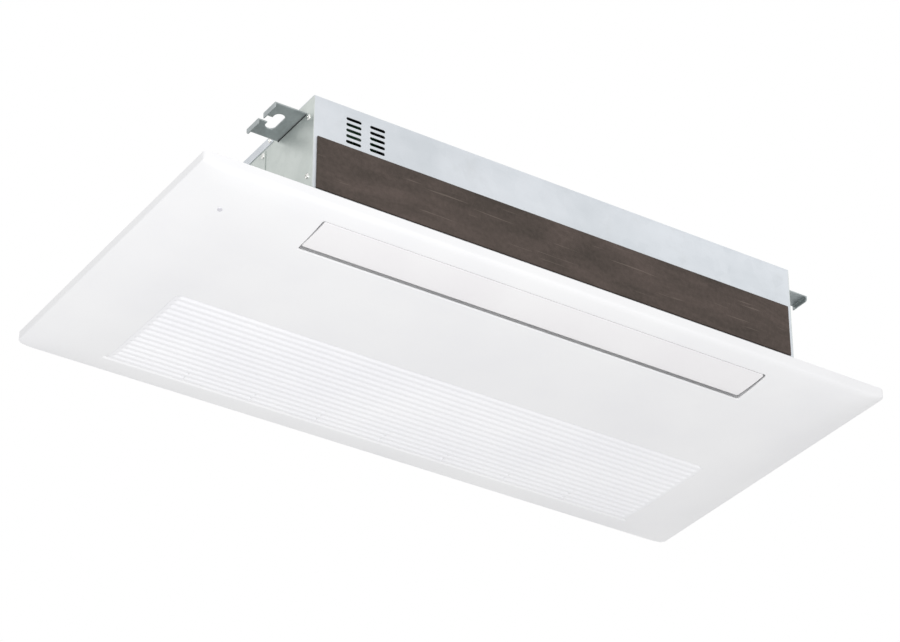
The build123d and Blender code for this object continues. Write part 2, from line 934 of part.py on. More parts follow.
# Casing screws
with BuildPart() as casing_screws:
    for side in (-1, 1):
        outside = (cover_screws if side < 0 else []) + fold_screws
        for y, z in end_screws + outside:
            seat = half_casing + (sheet if (y, z) in outside else 0)
            rod_x((side * seat, side * (seat + screw_head_height)), y, z, screw_head_radius)
            rod_x((side * seat, side * (seat - screw_length)), y, z, screw_radius)
            block(
                (side * (seat + screw_head_height - 1), side * (seat + screw_head_height)),
                (y - 3, y + 3),
                (z - 0.5, z + 0.5),
                mode=Mode.SUBTRACT,
            )
            block(
                (side * (seat + screw_head_height - 1), side * (seat + screw_head_height)),
                (y - 0.5, y + 0.5),
                (z - 3, z + 3),
                mode=Mode.SUBTRACT,
            )
save(casing_screws.part, "casing_screws")

# Wiring cover and its cable grommets
grommet_places = [(grommet_y - grommet_pitch * k, grommet_z) for k in range(2)]
with BuildPart() as wiring_cover:
    block(
        (-half_casing - sheet, -half_casing),
        (cover_near, cover_far),
        (cover_bottom, cover_top),
    )
    for y, z in grommet_places:
        rod_x(
            (-half_casing - 2 * sheet, -half_casing + sheet),
            y,
            z,
            grommet_radius + pin_gap,
            mode=Mode.SUBTRACT,
        )
    screw_holes(-1, cover_screws)
save(wiring_cover.part, "wiring_cover")

with BuildPart() as cable_grommets:
    for y, z in grommet_places:
        cover_out = -half_casing - sheet
        rod_x((cover_out - 2, cover_out), y, z, grommet_flange)
        rod_x((cover_out, -half_casing), y, z, grommet_radius)
        rod_x((-half_casing, -half_casing + 2), y, z, grommet_flange)
        rod_x((cover_out - 2, -half_casing + 2), y, z, grommet_bore, mode=Mode.SUBTRACT)
save(cable_grommets.part, "cable_grommets")

# Partitions on both sides of the air path
pan_top_z = floor_z + pan_height - casing_lift
with BuildPart() as partition_left:
    block((-partition_x - sheet, -partition_x), (front_in, rear_in), (floor_z, wall_top))
    block(
        (-partition_x - 2 * sheet, -partition_x + sheet),
        (front_in, front_in + tray_depth + seat_gap + 1),
        (tray_bottom - 1, roof_z),
        mode=Mode.SUBTRACT,
    )
    rod_x(
        (-partition_x - 2 * sheet, -partition_x + sheet),
        fan_y,
        fan_z,
        bush_radius + pin_gap,
        mode=Mode.SUBTRACT,
    )
save(partition_left.part, "partition_left")

with BuildPart() as partition_right:
    block((partition_x, partition_x + sheet), (front_in, rear_in), (floor_z, wall_top))
    block(
        (partition_x - sheet, partition_x + 2 * sheet),
        (pan_front - seat_gap, pan_back + seat_gap),
        (floor_z - 1, pan_top_z + seat_gap),
        mode=Mode.SUBTRACT,
    )
    rod_x(
        (partition_x - sheet, partition_x + 2 * sheet),
        fan_y,
        fan_z,
        hub_radius,
        mode=Mode.SUBTRACT,
    )
    block(
        (partition_x - sheet, partition_x + 2 * sheet),
        (pan_back - 2, pan_back + 30),
        (wall_top - 35, wall_top - 9),
        mode=Mode.SUBTRACT,
    )
save(partition_right.part, "partition_right")

# Electronics tray, open towards the vent slots
tray_back = front_in + tray_depth
tray_front = front_in + seat_gap
with BuildPart() as electronics_tray:
    block((tray_left, tray_right), (tray_front, tray_back), (tray_bottom, tray_top))
    block(
        (tray_left + sheet, tray_right - sheet),
        (tray_front - 1, tray_back - sheet),
        (tray_bottom + sheet, tray_top - sheet),
        mode=Mode.SUBTRACT,
    )
    for x in (tray_left + 12, tray_right - 12):
        for z in (tray_bottom + 9, tray_top - 9):
            rod_y(x, (tray_back - sheet - board_from_tray, tray_back - sheet), z, 3)
save(electronics_tray.part, "electronics_tray")

board_back = tray_back - sheet - board_from_tray
board_front = board_back - board_thickness
board_left = tray_left + 4
board_right = tray_right - 4
with BuildPart() as circuit_board:
    block((board_left, board_right), (board_front, board_back), (tray_bottom + 4, tray_top - 4))
    rod_y(board_left + 20, (board_front - 22, board_front), tray_bottom + 38, 9)
    rod_y(board_left + 40, (board_front - 18, board_front), tray_bottom + 38, 6)
    block((board_left + 52, board_left + 80), (board_front - 16, board_front), (tray_bottom + 24, tray_bottom + 50))
    block((board_left + 86, board_left + 98), (board_front - 10, board_front), (tray_bottom + 10, tray_bottom + 40))
    for number in range(4):
        plug_x = board_left + 14 + 18 * number
        block((plug_x - 6, plug_x + 6), (board_front - 9, board_front), (tray_bottom + 8, tray_bottom + 15))
save(circuit_board.part, "circuit_board")

# Terminal block behind the wiring cover
terminal_out = -partition_x - sheet - terminal_depth
with BuildPart() as terminal_block:
    block(
        (terminal_out, -partition_x - sheet),
        (terminal_near, terminal_far),
        (terminal_bottom, terminal_top),
    )
    ways = 5
    way_pitch = (terminal_far - terminal_near) / ways
    for number in range(ways + 1):
        wall_y = terminal_near + way_pitch * number
        block(
            (terminal_out - 5, terminal_out),
            (max(wall_y - 1, terminal_near), min(wall_y + 1, terminal_far)),
            (terminal_bottom, terminal_top),
        )
    for number in range(ways):
        screw_y = terminal_near + way_pitch * (number + 0.5)
        for screw_z in (terminal_bottom + 6, terminal_top - 6):
            rod_x((terminal_out - 2, terminal_out), screw_y, screw_z, 3)
save(terminal_block.part, "terminal_block")

# Outlet frame and guide vanes
vane_places = [vane_pitch * (k - (vane_count - 1) / 2) for k in range(vane_count)]
duct_y = (duct_near + duct_far) / 2
with BuildPart() as outlet_frame:
    with BuildSketch(Plane.XY.offset(floor_z)):
        with Locations((0, duct_y)):
            Rectangle(2 * (duct_half_length + duct_wall), duct_far - duct_near + 2 * duct_wall)
            Rectangle(2 * duct_half_length, duct_far - duct_near, mode=Mode.SUBTRACT)
    extrude(amount=duct_top - floor_z)
    for x in vane_places:
        rod_y(
            x,
            (duct_near - duct_wall - 1, duct_far + duct_wall + 1),
            vane_pivot_z,
            vane_pin_radius + running_gap,
            mode=Mode.SUBTRACT,
        )
save(outlet_frame.part, "outlet_frame")

vane_near = duct_near + vane_side_gap
vane_far = duct_far - vane_side_gap
for number, x in enumerate(vane_places, 1):
    with BuildPart() as guide_vane:
        block(
            (x - vane_thickness / 2, x + vane_thickness / 2),
            (vane_near, vane_far),
            (vane_bottom, vane_top),
        )
        block(
            (x - vane_thickness, x + vane_thickness),
            (link_notch, vane_far + 1),
            (vane_bottom - 1, link_notch_top),
            mode=Mode.SUBTRACT,
        )
        rod_y(x, (vane_near, vane_near + 6), vane_pivot_z, vane_boss_radius)
        rod_y(x, (vane_far - 6, vane_far), vane_pivot_z, vane_boss_radius)
        rod_y(x, (duct_near - duct_wall, vane_near + 1), vane_pivot_z, vane_pin_radius)
        rod_y(x, (vane_far - 1, duct_far + duct_wall), vane_pivot_z, vane_pin_radius)
        rod_y(x, (link_notch - 6, link_notch), vane_link_z, link_pin_radius + 1)
        rod_y(x, (link_notch, link_far + 1), vane_link_z, link_pin_radius)
    save(guide_vane.part, f"guide_vane_{number}")

with BuildPart() as vane_link:
    block(
        (vane_places[0] - link_overhang, vane_places[-1] + link_overhang),
        (link_near, link_far),
        (vane_link_z - link_height / 2, vane_link_z + link_height / 2),
    )
    for x in vane_places:
        rod_y(x, (link_near, link_far), vane_link_z, link_pin_radius + running_gap, mode=Mode.SUBTRACT)
save(vane_link.part, "vane_link")

# Moulded foam block that guides air from the fan to the outlet
scroll_half = partition_x - seat_gap
scroll_front = front_in + 0.5
frame_front = duct_near - duct_wall - seat_gap
with BuildPart() as scroll_block:
    with BuildSketch(Plane.YZ):
        with BuildLine():
            Polyline(
                (fan_y + 10, fan_z + 53),
                (fan_y + 10, wall_top),
                (scroll_front, wall_top),
                (scroll_front, floor_z),
                (frame_front, floor_z),
                (frame_front, duct_top + seat_gap),
                (duct_near, duct_top + seat_gap),
            )
            Spline(
                (duct_near, duct_top + seat_gap),
                (fan_y - 121, fan_z - 14),
                (fan_y - 83, fan_z + 23),
                (fan_y - 43, fan_z + 47.5),
                (fan_y + 10, fan_z + 53),
            )
        make_face()
    extrude(amount=scroll_half, both=True)
    block(
        (-scroll_half - 1, tray_right + seat_gap),
        (front_y, tray_back + seat_gap),
        (tray_bottom, roof_z),
        mode=Mode.SUBTRACT,
    )
save(scroll_block.part, "scroll_block")

# Drain pan, with the tongue between the fan and the outlet
pan_start = duct_far + duct_wall + seat_gap
with BuildPart() as drain_pan:
    with BuildSketch(Plane.YZ):
        with BuildLine():
            Polyline(
                (pan_start, duct_top),
                (pan_start, floor_z),
                (pan_back, floor_z),
                (pan_back, pan_top_z),
                (pan_front + 6, pan_top_z),
                (pan_front, duct_top - 2),
            )
            Spline(
                (pan_front, duct_top - 2),
                (fan_y, tongue_height),
                (pan_start, duct_top),
            )
        make_face()
    extrude(amount=scroll_half, both=True)
    block((scroll_half, pan_end), (pan_front, pan_back), (floor_z, pan_top_z))
    block(
        (-scroll_half + pan_wall, pan_end - pan_wall),
        (pan_front + 6, pan_back - pan_wall),
        (pan_floor, roof_z),
        mode=Mode.SUBTRACT,
    )
save(drain_pan.part, "drain_pan")

# Coil
tilt_sin = sin(radians(coil_tilt))
tilt_cos = cos(radians(coil_tilt))
coil_plane = Plane(
    origin=(0, coil_foot_y, coil_foot_z),
    x_dir=(1, 0, 0),
    z_dir=(0, -tilt_cos, tilt_sin),
)


def coil_point(x, along, out):
    """Point of the coil, from its foot along the slope and out of its middle."""
    return Vector(
        x,
        coil_foot_y + along * tilt_sin - out * tilt_cos,
        coil_foot_z + along * tilt_cos + out * tilt_sin,
    )


tube_lines = [coil_first_tube + coil_tube_pitch * k for k in range(coil_tubes_per_row)]
tube_rows = (coil_row_offset, -coil_row_offset)


def tube_holes(reach):
    """Holes for every straight tube, from end to end."""
    for row in tube_rows:
        for line in tube_lines:
            centre = coil_point(0, line, row)
            rod_x((-reach, reach), centre.Y, centre.Z, coil_tube_radius + pin_gap, mode=Mode.SUBTRACT)


with BuildPart() as coil_fins:
    with BuildSketch(coil_plane.offset(-coil_thickness / 2)):
        with Locations((0, coil_height / 2)):
            Rectangle(2 * coil_half_length, coil_height)
    extrude(amount=coil_thickness)
    for face_side in (-1, 1):
        with BuildSketch(coil_plane.offset(face_side * coil_thickness / 2)):
            with Locations((0, coil_height / 2)):
                with GridLocations(fin_groove_pitch, 0, fin_groove_count, 1):
                    Rectangle(fin_groove, coil_height)
        extrude(amount=-face_side * fin_groove_depth, mode=Mode.SUBTRACT)
    tube_holes(coil_half_length + 1)
save(coil_fins.part, "coil_fins")

with BuildPart() as coil_end_plates:
    for side in (-1, 1):
        plate_x = side * (coil_half_length + coil_plate / 2)
        with BuildSketch(Plane.YZ.offset(plate_x)):
            with BuildLine():
                low_front = coil_point(0, 0, coil_thickness / 2 + 3)
                low_rear = coil_point(0, 0, -coil_thickness / 2 - 3)
                high_front = coil_point(0, coil_height - 3, coil_thickness / 2 + 3)
                high_rear = coil_point(0, coil_height - 6, -coil_thickness / 2 - 3)
                Polyline(
                    (low_front.Y, pan_floor),
                    (low_rear.Y, pan_floor),
                    (low_rear.Y, low_rear.Z),
                    (high_rear.Y, high_rear.Z),
                    (high_rear.Y, wall_top),
                    (high_front.Y, wall_top),
                    (low_front.Y, low_front.Z),
                    close=True,
                )
            make_face()
        extrude(amount=coil_plate / 2, both=True)
    tube_holes(coil_half_length + coil_plate + 1)
save(coil_end_plates.part, "coil_end_plates")


def row_path(row):
    """Straight tubes and return bends of one row, from bottom to top."""
    bend = coil_tube_pitch / 2
    heading = -1
    for number, line in enumerate(tube_lines):
        start_x = coil_tube_end if number == 0 else coil_bend_x * -heading
        end_x = coil_tube_end if number == coil_tubes_per_row - 1 else coil_bend_x * heading
        Line(coil_point(start_x, line, row), coil_point(end_x, line, row))
        if number < coil_tubes_per_row - 1:
            ThreePointArc(
                coil_point(end_x, line, row),
                coil_point(end_x + heading * bend, line + bend, row),
                coil_point(end_x, line + coil_tube_pitch, row),
            )
        heading = -heading


with BuildPart() as coil_tubes:
    for row in tube_rows:
        with BuildLine() as tube_path:
            row_path(row)
        start = coil_point(coil_tube_end, tube_lines[0], row)
        with BuildSketch(Plane(origin=start, z_dir=(-1, 0, 0))):
            Circle(coil_tube_radius)
        sweep(path=tube_path.wire())
    with BuildLine() as crossover:
        ThreePointArc(
            coil_point(coil_tube_end, tube_lines[0], coil_row_offset),
            coil_point(coil_tube_end + coil_row_offset, tube_lines[0], 0),
            coil_point(coil_tube_end, tube_lines[0], -coil_row_offset),
        )
    with BuildSketch(
        Plane(origin=coil_point(coil_tube_end, tube_lines[0], coil_row_offset), z_dir=(1, 0, 0))
    ):
        Circle(coil_tube_radius)
    sweep(path=crossover.wire())
save(coil_tubes.part, "coil_tubes")

# Refrigerant pipes from the coil to the right end
pipe_stop = half_casing + pipe_in_union


def pipe_run(start, turn_x, exit_z, radius):
    """Pipe from a coil tube round two bends and out through the end plate."""
    with BuildLine() as route:
        FilletPolyline(
            start,
            (turn_x, start.Y, start.Z),
            (turn_x, pipe_exit_y, exit_z),
            (pipe_stop, pipe_exit_y, exit_z),
            radius=15,
        )
    with BuildSketch(Plane(origin=start, z_dir=(1, 0, 0))) as section:
        Circle(radius)
    sweep(section.sketch, path=route.wire())


gas_start = coil_point(coil_tube_end, tube_lines[-1], coil_row_offset)
liquid_start = coil_point(coil_tube_end, tube_lines[-1], -coil_row_offset)
with BuildPart() as gas_pipe:
    pipe_run(gas_start, gas_turn_x, gas_exit_z, gas_radius)
save(gas_pipe.part, "gas_pipe")

with BuildPart() as liquid_pipe:
    pipe_run(liquid_start, liquid_turn_x, liquid_exit_z, liquid_radius)
save(liquid_pipe.part, "liquid_pipe")

with BuildPart() as flare_unions:
    unions = (
        (liquid_exit_z, liquid_radius, liquid_thread_radius),
        (gas_exit_z, gas_radius, gas_thread_radius),
    )
    for z, pipe_radius, thread_radius in unions:
        with BuildSketch(Plane(origin=(half_casing, pipe_exit_y, z), z_dir=(1, 0, 0))):
            RegularPolygon(thread_radius + 4, 6)
        extrude(amount=union_hex_length)
        rod_x((half_casing, half_casing + union_length), pipe_exit_y, z, thread_radius)
        rod_x((half_casing, pipe_stop), pipe_exit_y, z, pipe_radius + pin_gap, mode=Mode.SUBTRACT)
        rod_x(
            (pipe_stop, half_casing + union_length),
            pipe_exit_y,
            z,
            pipe_radius - 1,
            mode=Mode.SUBTRACT,
        )
save(flare_unions.part, "flare_unions")

# Fan
fan_plane = Plane(origin=(fan_left, fan_y, fan_z), x_dir=(0, 1, 0), z_dir=(1, 0, 0))
with BuildPart() as fan_rotor:
    with BuildSketch(fan_plane):
        with PolarLocations((fan_radius + fan_inner_radius) / 2, blade_count):
            Rectangle(fan_radius - fan_inner_radius, blade_thickness, rotation=blade_tilt)
    extrude(amount=fan_length)
    disc_step = (fan_length - disc_thickness) / (fan_discs - 1)
    for number in range(fan_discs):
        with BuildSketch(fan_plane.offset(disc_step * number)):
            Circle(fan_radius)
            if 0 < number < fan_discs - 1:
                Circle(fan_inner_radius - 1, mode=Mode.SUBTRACT)
        extrude(amount=disc_thickness)
    rod_x((fan_left, fan_left + hub_length), fan_y, fan_z, hub_radius)
    rod_x((fan_right - hub_length, fan_right), fan_y, fan_z, hub_radius)
    rod_x((fan_left - 1, fan_right + 1), fan_y, fan_z, shaft_radius + pin_gap, mode=Mode.SUBTRACT)
save(fan_rotor.part, "fan_rotor")

bush_in = -partition_x + 2.5
bush_out = -partition_x - sheet - 4
motor_in = partition_x + sheet + bracket_plate
with BuildPart() as fan_shaft:
    rod_x((bush_out + 1, motor_in + motor_bore_depth - 1), fan_y, fan_z, shaft_radius)
save(fan_shaft.part, "fan_shaft")

with BuildPart() as bearing_bush:
    rod_x((-partition_x, bush_in), fan_y, fan_z, bush_flange)
    rod_x((bush_out, -partition_x), fan_y, fan_z, bush_radius)
    rod_x((bush_out, bush_in), fan_y, fan_z, shaft_radius + pin_gap, mode=Mode.SUBTRACT)
save(bearing_bush.part, "bearing_bush")

with BuildPart() as fan_motor:
    rod_x((motor_in, motor_in + motor_length), fan_y, fan_z, motor_radius)
    fillet(fan_motor.edges().sort_by(Axis.X)[-1], 5)
    rod_x(
        (motor_in, motor_in + motor_bore_depth),
        fan_y,
        fan_z,
        shaft_radius + pin_gap,
        mode=Mode.SUBTRACT,
    )
save(fan_motor.part, "fan_motor")

with BuildPart() as motor_bracket:
    ring_out = motor_radius + seat_gap + bracket_ring
    rod_x((partition_x + sheet, partition_x + sheet + bracket_depth), fan_y, fan_z, ring_out)
    rod_x(
        (motor_in, partition_x + sheet + bracket_depth),
        fan_y,
        fan_z,
        motor_radius + seat_gap,
        mode=Mode.SUBTRACT,
    )
    rod_x((partition_x, motor_in), fan_y, fan_z, hub_radius, mode=Mode.SUBTRACT)
    block(
        (partition_x + sheet, motor_in),
        (fan_y - ring_out - 8, fan_y + ring_out - 20),
        (fan_z - 12, fan_z + 12),
    )
    rod_x((partition_x, motor_in), fan_y, fan_z, hub_radius, mode=Mode.SUBTRACT)
save(motor_bracket.part, "motor_bracket")

# Condensate pump
with BuildPart() as drain_pump:
    rod_z(pump_x, pump_y, (pump_body_bottom, pump_body_top), pump_body_radius)
    rod_z(pump_x, pump_y, (pump_body_top, pump_cap_top), pump_body_radius - 6)
    rod_z(pump_x, pump_y, (pump_tube_bottom, pump_body_bottom), pump_tube_radius)
    rod_z(pump_x, pump_y, (pump_tube_bottom, pump_body_bottom - 2), pump_tube_bore, mode=Mode.SUBTRACT)
    rod_z(
        pump_x,
        pump_y,
        (pump_body_bottom - 4, pump_body_bottom + 20),
        2 + pin_gap,
        mode=Mode.SUBTRACT,
    )
    block(
        (partition_x + sheet, pump_x),
        (pump_y - 14, pump_y + 14),
        (pump_body_bottom + 2, pump_body_top),
    )
    rod_z(
        pump_x,
        pump_y,
        (pump_body_bottom - 4, pump_body_bottom + 20),
        2 + pin_gap,
        mode=Mode.SUBTRACT,
    )
    rod_x(
        (pump_x + pump_body_radius / 2, half_casing - 3),
        pump_y,
        drain_z,
        drain_bore - seat_gap,
    )
save(drain_pump.part, "drain_pump")

with BuildPart() as pump_impeller:
    rod_z(pump_x, pump_y, (impeller_bottom, pump_body_bottom + 18), 2)
    rod_z(pump_x, pump_y, (impeller_bottom, impeller_top), 4)
    for turn in (0, 90):
        with Locations(Location((pump_x, pump_y, (impeller_bottom + impeller_top) / 2), (0, 0, turn))):
            Box(2 * impeller_radius, 1.5, impeller_top - impeller_bottom)
save(pump_impeller.part, "pump_impeller")

drain_start = pump_x + pump_body_radius + seat_gap
with BuildPart() as drain_outlet:
    rod_x((drain_start, half_casing + drain_length), pump_y, drain_z, drain_radius)
    rod_x((half_casing, half_casing + 2.5), pump_y, drain_z, drain_flange_radius)
    rod_x((drain_start, half_casing + drain_length), pump_y, drain_z, drain_bore, mode=Mode.SUBTRACT)
save(drain_outlet.part, "drain_outlet")

# Float switch
with BuildPart() as float_stem:
    rod_z(pump_x, float_y, (float_stem_bottom, float_stem_top), float_stem_radius)
    rod_z(pump_x, float_y, (float_stem_bottom, float_bottom - seat_gap), float_stem_radius + 2)
    block(
        (partition_x + sheet, pump_x),
        (float_y - 4, float_y + 4),
        (float_stem_top - 4, float_stem_top),
    )
    block(
        (partition_x + sheet, partition_x + sheet + 2),
        (float_y - 8, float_y + 8),
        (float_stem_top - 6, float_stem_top + 10),
    )
save(float_stem.part, "float_stem")

with BuildPart() as float_ring:
    rod_z(pump_x, float_y, (float_bottom, float_bottom + float_height), float_radius)
    rod_z(
        pump_x,
        float_y,
        (float_bottom, float_bottom + float_height),
        float_stem_radius + seat_gap,
        mode=Mode.SUBTRACT,
    )
save(float_ring.part, "float_ring")
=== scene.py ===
import json
import math
import random

import bmesh
import bpy
from mathutils import Matrix, Vector


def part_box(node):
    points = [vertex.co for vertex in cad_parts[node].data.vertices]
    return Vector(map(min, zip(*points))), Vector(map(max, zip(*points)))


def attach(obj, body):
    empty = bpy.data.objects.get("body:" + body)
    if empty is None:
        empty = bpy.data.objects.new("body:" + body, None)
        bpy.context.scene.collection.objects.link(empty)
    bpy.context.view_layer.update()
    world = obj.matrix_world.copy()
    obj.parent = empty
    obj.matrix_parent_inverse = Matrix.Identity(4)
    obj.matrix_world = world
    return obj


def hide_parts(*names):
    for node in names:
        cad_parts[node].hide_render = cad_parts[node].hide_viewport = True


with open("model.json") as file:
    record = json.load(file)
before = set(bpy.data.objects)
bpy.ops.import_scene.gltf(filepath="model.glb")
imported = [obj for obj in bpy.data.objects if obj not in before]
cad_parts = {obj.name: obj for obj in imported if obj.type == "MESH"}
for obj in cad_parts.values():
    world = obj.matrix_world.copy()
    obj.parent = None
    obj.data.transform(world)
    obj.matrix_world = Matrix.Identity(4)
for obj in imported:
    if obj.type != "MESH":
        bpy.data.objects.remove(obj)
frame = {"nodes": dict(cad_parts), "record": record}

bl_info = {
    "name": "Ceiling cassette unit",
    "version": (1, 0, 0),
    "blender": (4, 5, 0),
    "location": "View3D > Sidebar > Cassette",
    "description": "Trim panel, casing and works of a one-way ceiling cassette",
    "category": "Object",
}

# Lengths are in metres, and MM turns millimetres into them.
MM = 0.001
STEP = 0.03 * MM
SMOOTH_ANGLE = math.radians(32)

BODY_OF = {
    node: body
    for body, nodes in frame["record"]["behaviour"]["bodies"].items()
    for node in nodes
}


def corners(node):
    """Lowest and highest corner of a node, as two plain lists."""
    low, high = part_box(node)
    return list(low), list(high)


PANEL_LOW, PANEL_HIGH = corners("panel_frame")
GRILLE_LOW, GRILLE_HIGH = corners("intake_grille")
BLADE_LOW, BLADE_HIGH = corners("louver_blade")
FILTER_LOW, FILTER_HIGH = corners("air_filter_mesh")
FINS_LOW, FINS_HIGH = corners("coil_fins")
ROTOR_LOW, ROTOR_HIGH = corners("fan_rotor")


# Colours

def srgb(red, green, blue):
    """Linear colour of a screen colour given in 0 to 255."""
    shares = [value / 255 for value in (red, green, blue)]
    linear = [s / 12.92 if s <= 0.04045 else ((s + 0.055) / 1.055) ** 2.4 for s in shares]
    return (*linear, 1.0)


# Materials

class Nodes:
    """A node tree that nodes are added to, with a prefix for the kinds it holds."""

    prefix = ""

    def put(self, socket, value):
        """Link a socket, or set its value."""
        if isinstance(value, bpy.types.NodeSocket):
            self.tree.links.new(value, socket)
        else:
            socket.default_value = value

    def add(self, kind, values=None, **settings):
        """New node with its settings and inputs."""
        node = self.tree.nodes.new(self.prefix + kind)
        for key, value in settings.items():
            setattr(node, key, value)
        for key, value in (values or {}).items():
            self.put(node.inputs[key], value)
        return node


class Finish(Nodes):
    """One procedural finish, built node by node on a Principled shader."""

    prefix = "ShaderNode"

    def __init__(self, name, **constants):
        self.material = bpy.data.materials.new(name)
        self.material.use_nodes = True
        self.tree = self.material.node_tree
        self.shader = self.tree.nodes["Principled BSDF"]
        for key, value in constants.items():
            self.shader.inputs[key.replace("_", " ")].default_value = value
        self.place = self.add("TexCoord").outputs["Object"]

    def stretched(self, scale):
        """Object coordinates drawn out or squeezed on each axis."""
        return self.add("Mapping", {"Vector": self.place, "Scale": scale}).outputs[0]

    def noise(self, scale, detail=3.0, rough=0.5, place=None, distortion=0.0):
        """Cloudy pattern, with its scale in turns per metre."""
        values = {
            "Vector": place or self.place,
            "Scale": scale,
            "Detail": detail,
            "Roughness": rough,
            "Distortion": distortion,
        }
        return self.add("TexNoise", values).outputs["Fac"]

    def cells(self, scale, output="Distance", feature="F1"):
        """Cell pattern, with its scale in cells per metre."""
        node = self.add("TexVoronoi", {"Vector": self.place, "Scale": scale}, feature=feature)
        return node.outputs[output]

    def spread(self, value, low, high, to_low=0.0, to_high=1.0):
        """Map a value from one range to another, clamped."""
        values = {
            "Value": value,
            "From Min": low,
            "From Max": high,
            "To Min": to_low,
            "To Max": to_high,
        }
        return self.add("MapRange", values).outputs["Result"]

    def sum(self, first, second):
        """Sum of two values."""
        node = self.add("Math", operation="ADD")
        self.put(node.inputs[0], first)
        self.put(node.inputs[1], second)
        return node.outputs[0]

    def mix(self, factor, first, second):
        """Blend of two colours."""
        node = self.add("Mix", data_type="RGBA", blend_type="MIX")
        self.put(node.inputs[0], factor)
        self.put(node.inputs[6], first)
        self.put(node.inputs[7], second)
        return node.outputs[2]

    def bump(self, height, depth, under=None):
        """Relief from a height pattern, with its depth in metres."""
        node = self.add("Bump", {"Height": height, "Distance": depth, "Strength": 1.0})
        if under is not None:
            self.put(node.inputs["Normal"], under)
        return node.outputs["Normal"]

    def edges(self, radius, reach=0.12):
        """Mask that is 1 on edges and corners of the shape."""
        rounded = self.add("Bevel", {"Radius": radius}, samples=6).outputs["Normal"]
        plain = self.add("NewGeometry").outputs["Normal"]
        node = self.add("VectorMath", operation="DOT_PRODUCT")
        self.put(node.inputs[0], rounded)
        self.put(node.inputs[1], plain)
        return self.spread(node.outputs["Value"], 1.0 - reach, 0.995, 1.0, 0.0)

    def finish(self, colour, roughness, normal):
        """Join colour, roughness and relief to the shader."""
        self.put(self.shader.inputs["Base Color"], colour)
        self.put(self.shader.inputs["Roughness"], roughness)
        self.put(self.shader.inputs["Normal"], normal)
        return self.material


def moulded_white(name, light, shade):
    """Satin white moulding with a fine spark texture and faint clouding."""
    f = Finish(name, Specular_IOR_Level=0.45)
    clouds = f.spread(f.noise(5.0, 3.0), 0.35, 0.65)
    colour = f.mix(clouds, srgb(*light), srgb(*shade))
    dust = f.spread(f.noise(90.0, 5.0, 0.6), 0.6, 0.85, 0.0, 0.05)
    colour = f.mix(dust, colour, srgb(206, 203, 196))
    spark = f.noise(1900.0, 2.0, 0.6)
    flow = f.noise(7.0, 2.0, place=f.stretched((0.5, 1.6, 1.0)))
    rough = f.sum(f.spread(clouds, 0.0, 1.0, 0.33, 0.40), f.spread(spark, 0.3, 0.7, -0.03, 0.03))
    relief = f.bump(spark, 0.012 * MM)
    return f.finish(colour, rough, f.bump(flow, 0.12 * MM, relief))


def galvanised(name, light, shade, spangle=55.0):
    """Zinc-coated sheet with soft spangle and rolling streaks, with a painted highlight on its edges."""
    f = Finish(name, Metallic=0.72, Specular_IOR_Level=0.5)
    crystals = f.cells(spangle, "Color")
    crystal = f.add("SeparateColor", {"Color": crystals}).outputs[0]
    fine = f.noise(240.0, 4.0, 0.6)
    streaks = f.noise(34.0, 4.0, place=f.stretched((0.12, 1.0, 1.0)))
    clouds = f.noise(6.5, 3.0, 0.55, distortion=0.6)
    tone = f.sum(f.spread(crystal, 0.0, 1.0, -0.06, 0.06), f.spread(clouds, 0.3, 0.7, 0.0, 1.0))
    tone = f.sum(tone, f.spread(streaks, 0.35, 0.65, -0.14, 0.14))
    colour = f.mix(tone, srgb(*light), srgb(*shade))
    # Painted highlight: edges and corners are lightened towards near-white.
    colour = f.mix(f.spread(f.edges(0.45 * MM), 0.0, 1.0, 0.0, 0.5), colour, srgb(238, 241, 243))
    smudge = f.spread(f.noise(19.0, 5.0, 0.65), 0.56, 0.8, 0.0, 0.22)
    colour = f.mix(smudge, colour, srgb(168, 170, 168))
    rough = f.sum(f.spread(crystal, 0.0, 1.0, 0.36, 0.46), f.spread(fine, 0.3, 0.7, -0.05, 0.05))
    relief = f.bump(f.sum(crystal, f.spread(fine, 0.0, 1.0, 0.0, 0.4)), 0.02 * MM)
    return f.finish(colour, rough, f.bump(clouds, 0.25 * MM, relief))


def lug_steel():
    """Thick plated steel, grey-green, rubbed bright on its edges."""
    f = Finish("lug_steel", Metallic=0.7)
    clouds = f.spread(f.noise(30.0, 4.0, 0.6), 0.3, 0.7)
    colour = f.mix(clouds, srgb(178, 185, 186), srgb(152, 159, 160))
    stains = f.spread(f.noise(160.0, 4.0), 0.58, 0.78, 0.0, 0.35)
    colour = f.mix(stains, colour, srgb(136, 132, 122))
    colour = f.mix(f.edges(0.9 * MM), colour, srgb(226, 229, 226))
    grain = f.noise(700.0, 3.0, place=f.stretched((1.0, 0.15, 1.0)))
    rough = f.sum(f.spread(clouds, 0.0, 1.0, 0.36, 0.5), f.spread(grain, 0.3, 0.7, -0.05, 0.05))
    return f.finish(colour, rough, f.bump(grain, 0.02 * MM))


def bright_steel():
    """Nickel-bright turned steel with fine turning marks."""
    f = Finish("bright_steel", Metallic=1.0)
    marks = f.noise(2600.0, 2.0)
    tint = f.spread(f.noise(320.0, 3.0), 0.35, 0.7)
    colour = f.mix(tint, srgb(244, 244, 242), srgb(222, 222, 218))
    colour = f.mix(f.edges(0.35 * MM), colour, srgb(246, 246, 244))
    rough = f.spread(marks, 0.3, 0.7, 0.2, 0.34)
    return f.finish(colour, rough, f.bump(marks, 0.006 * MM))


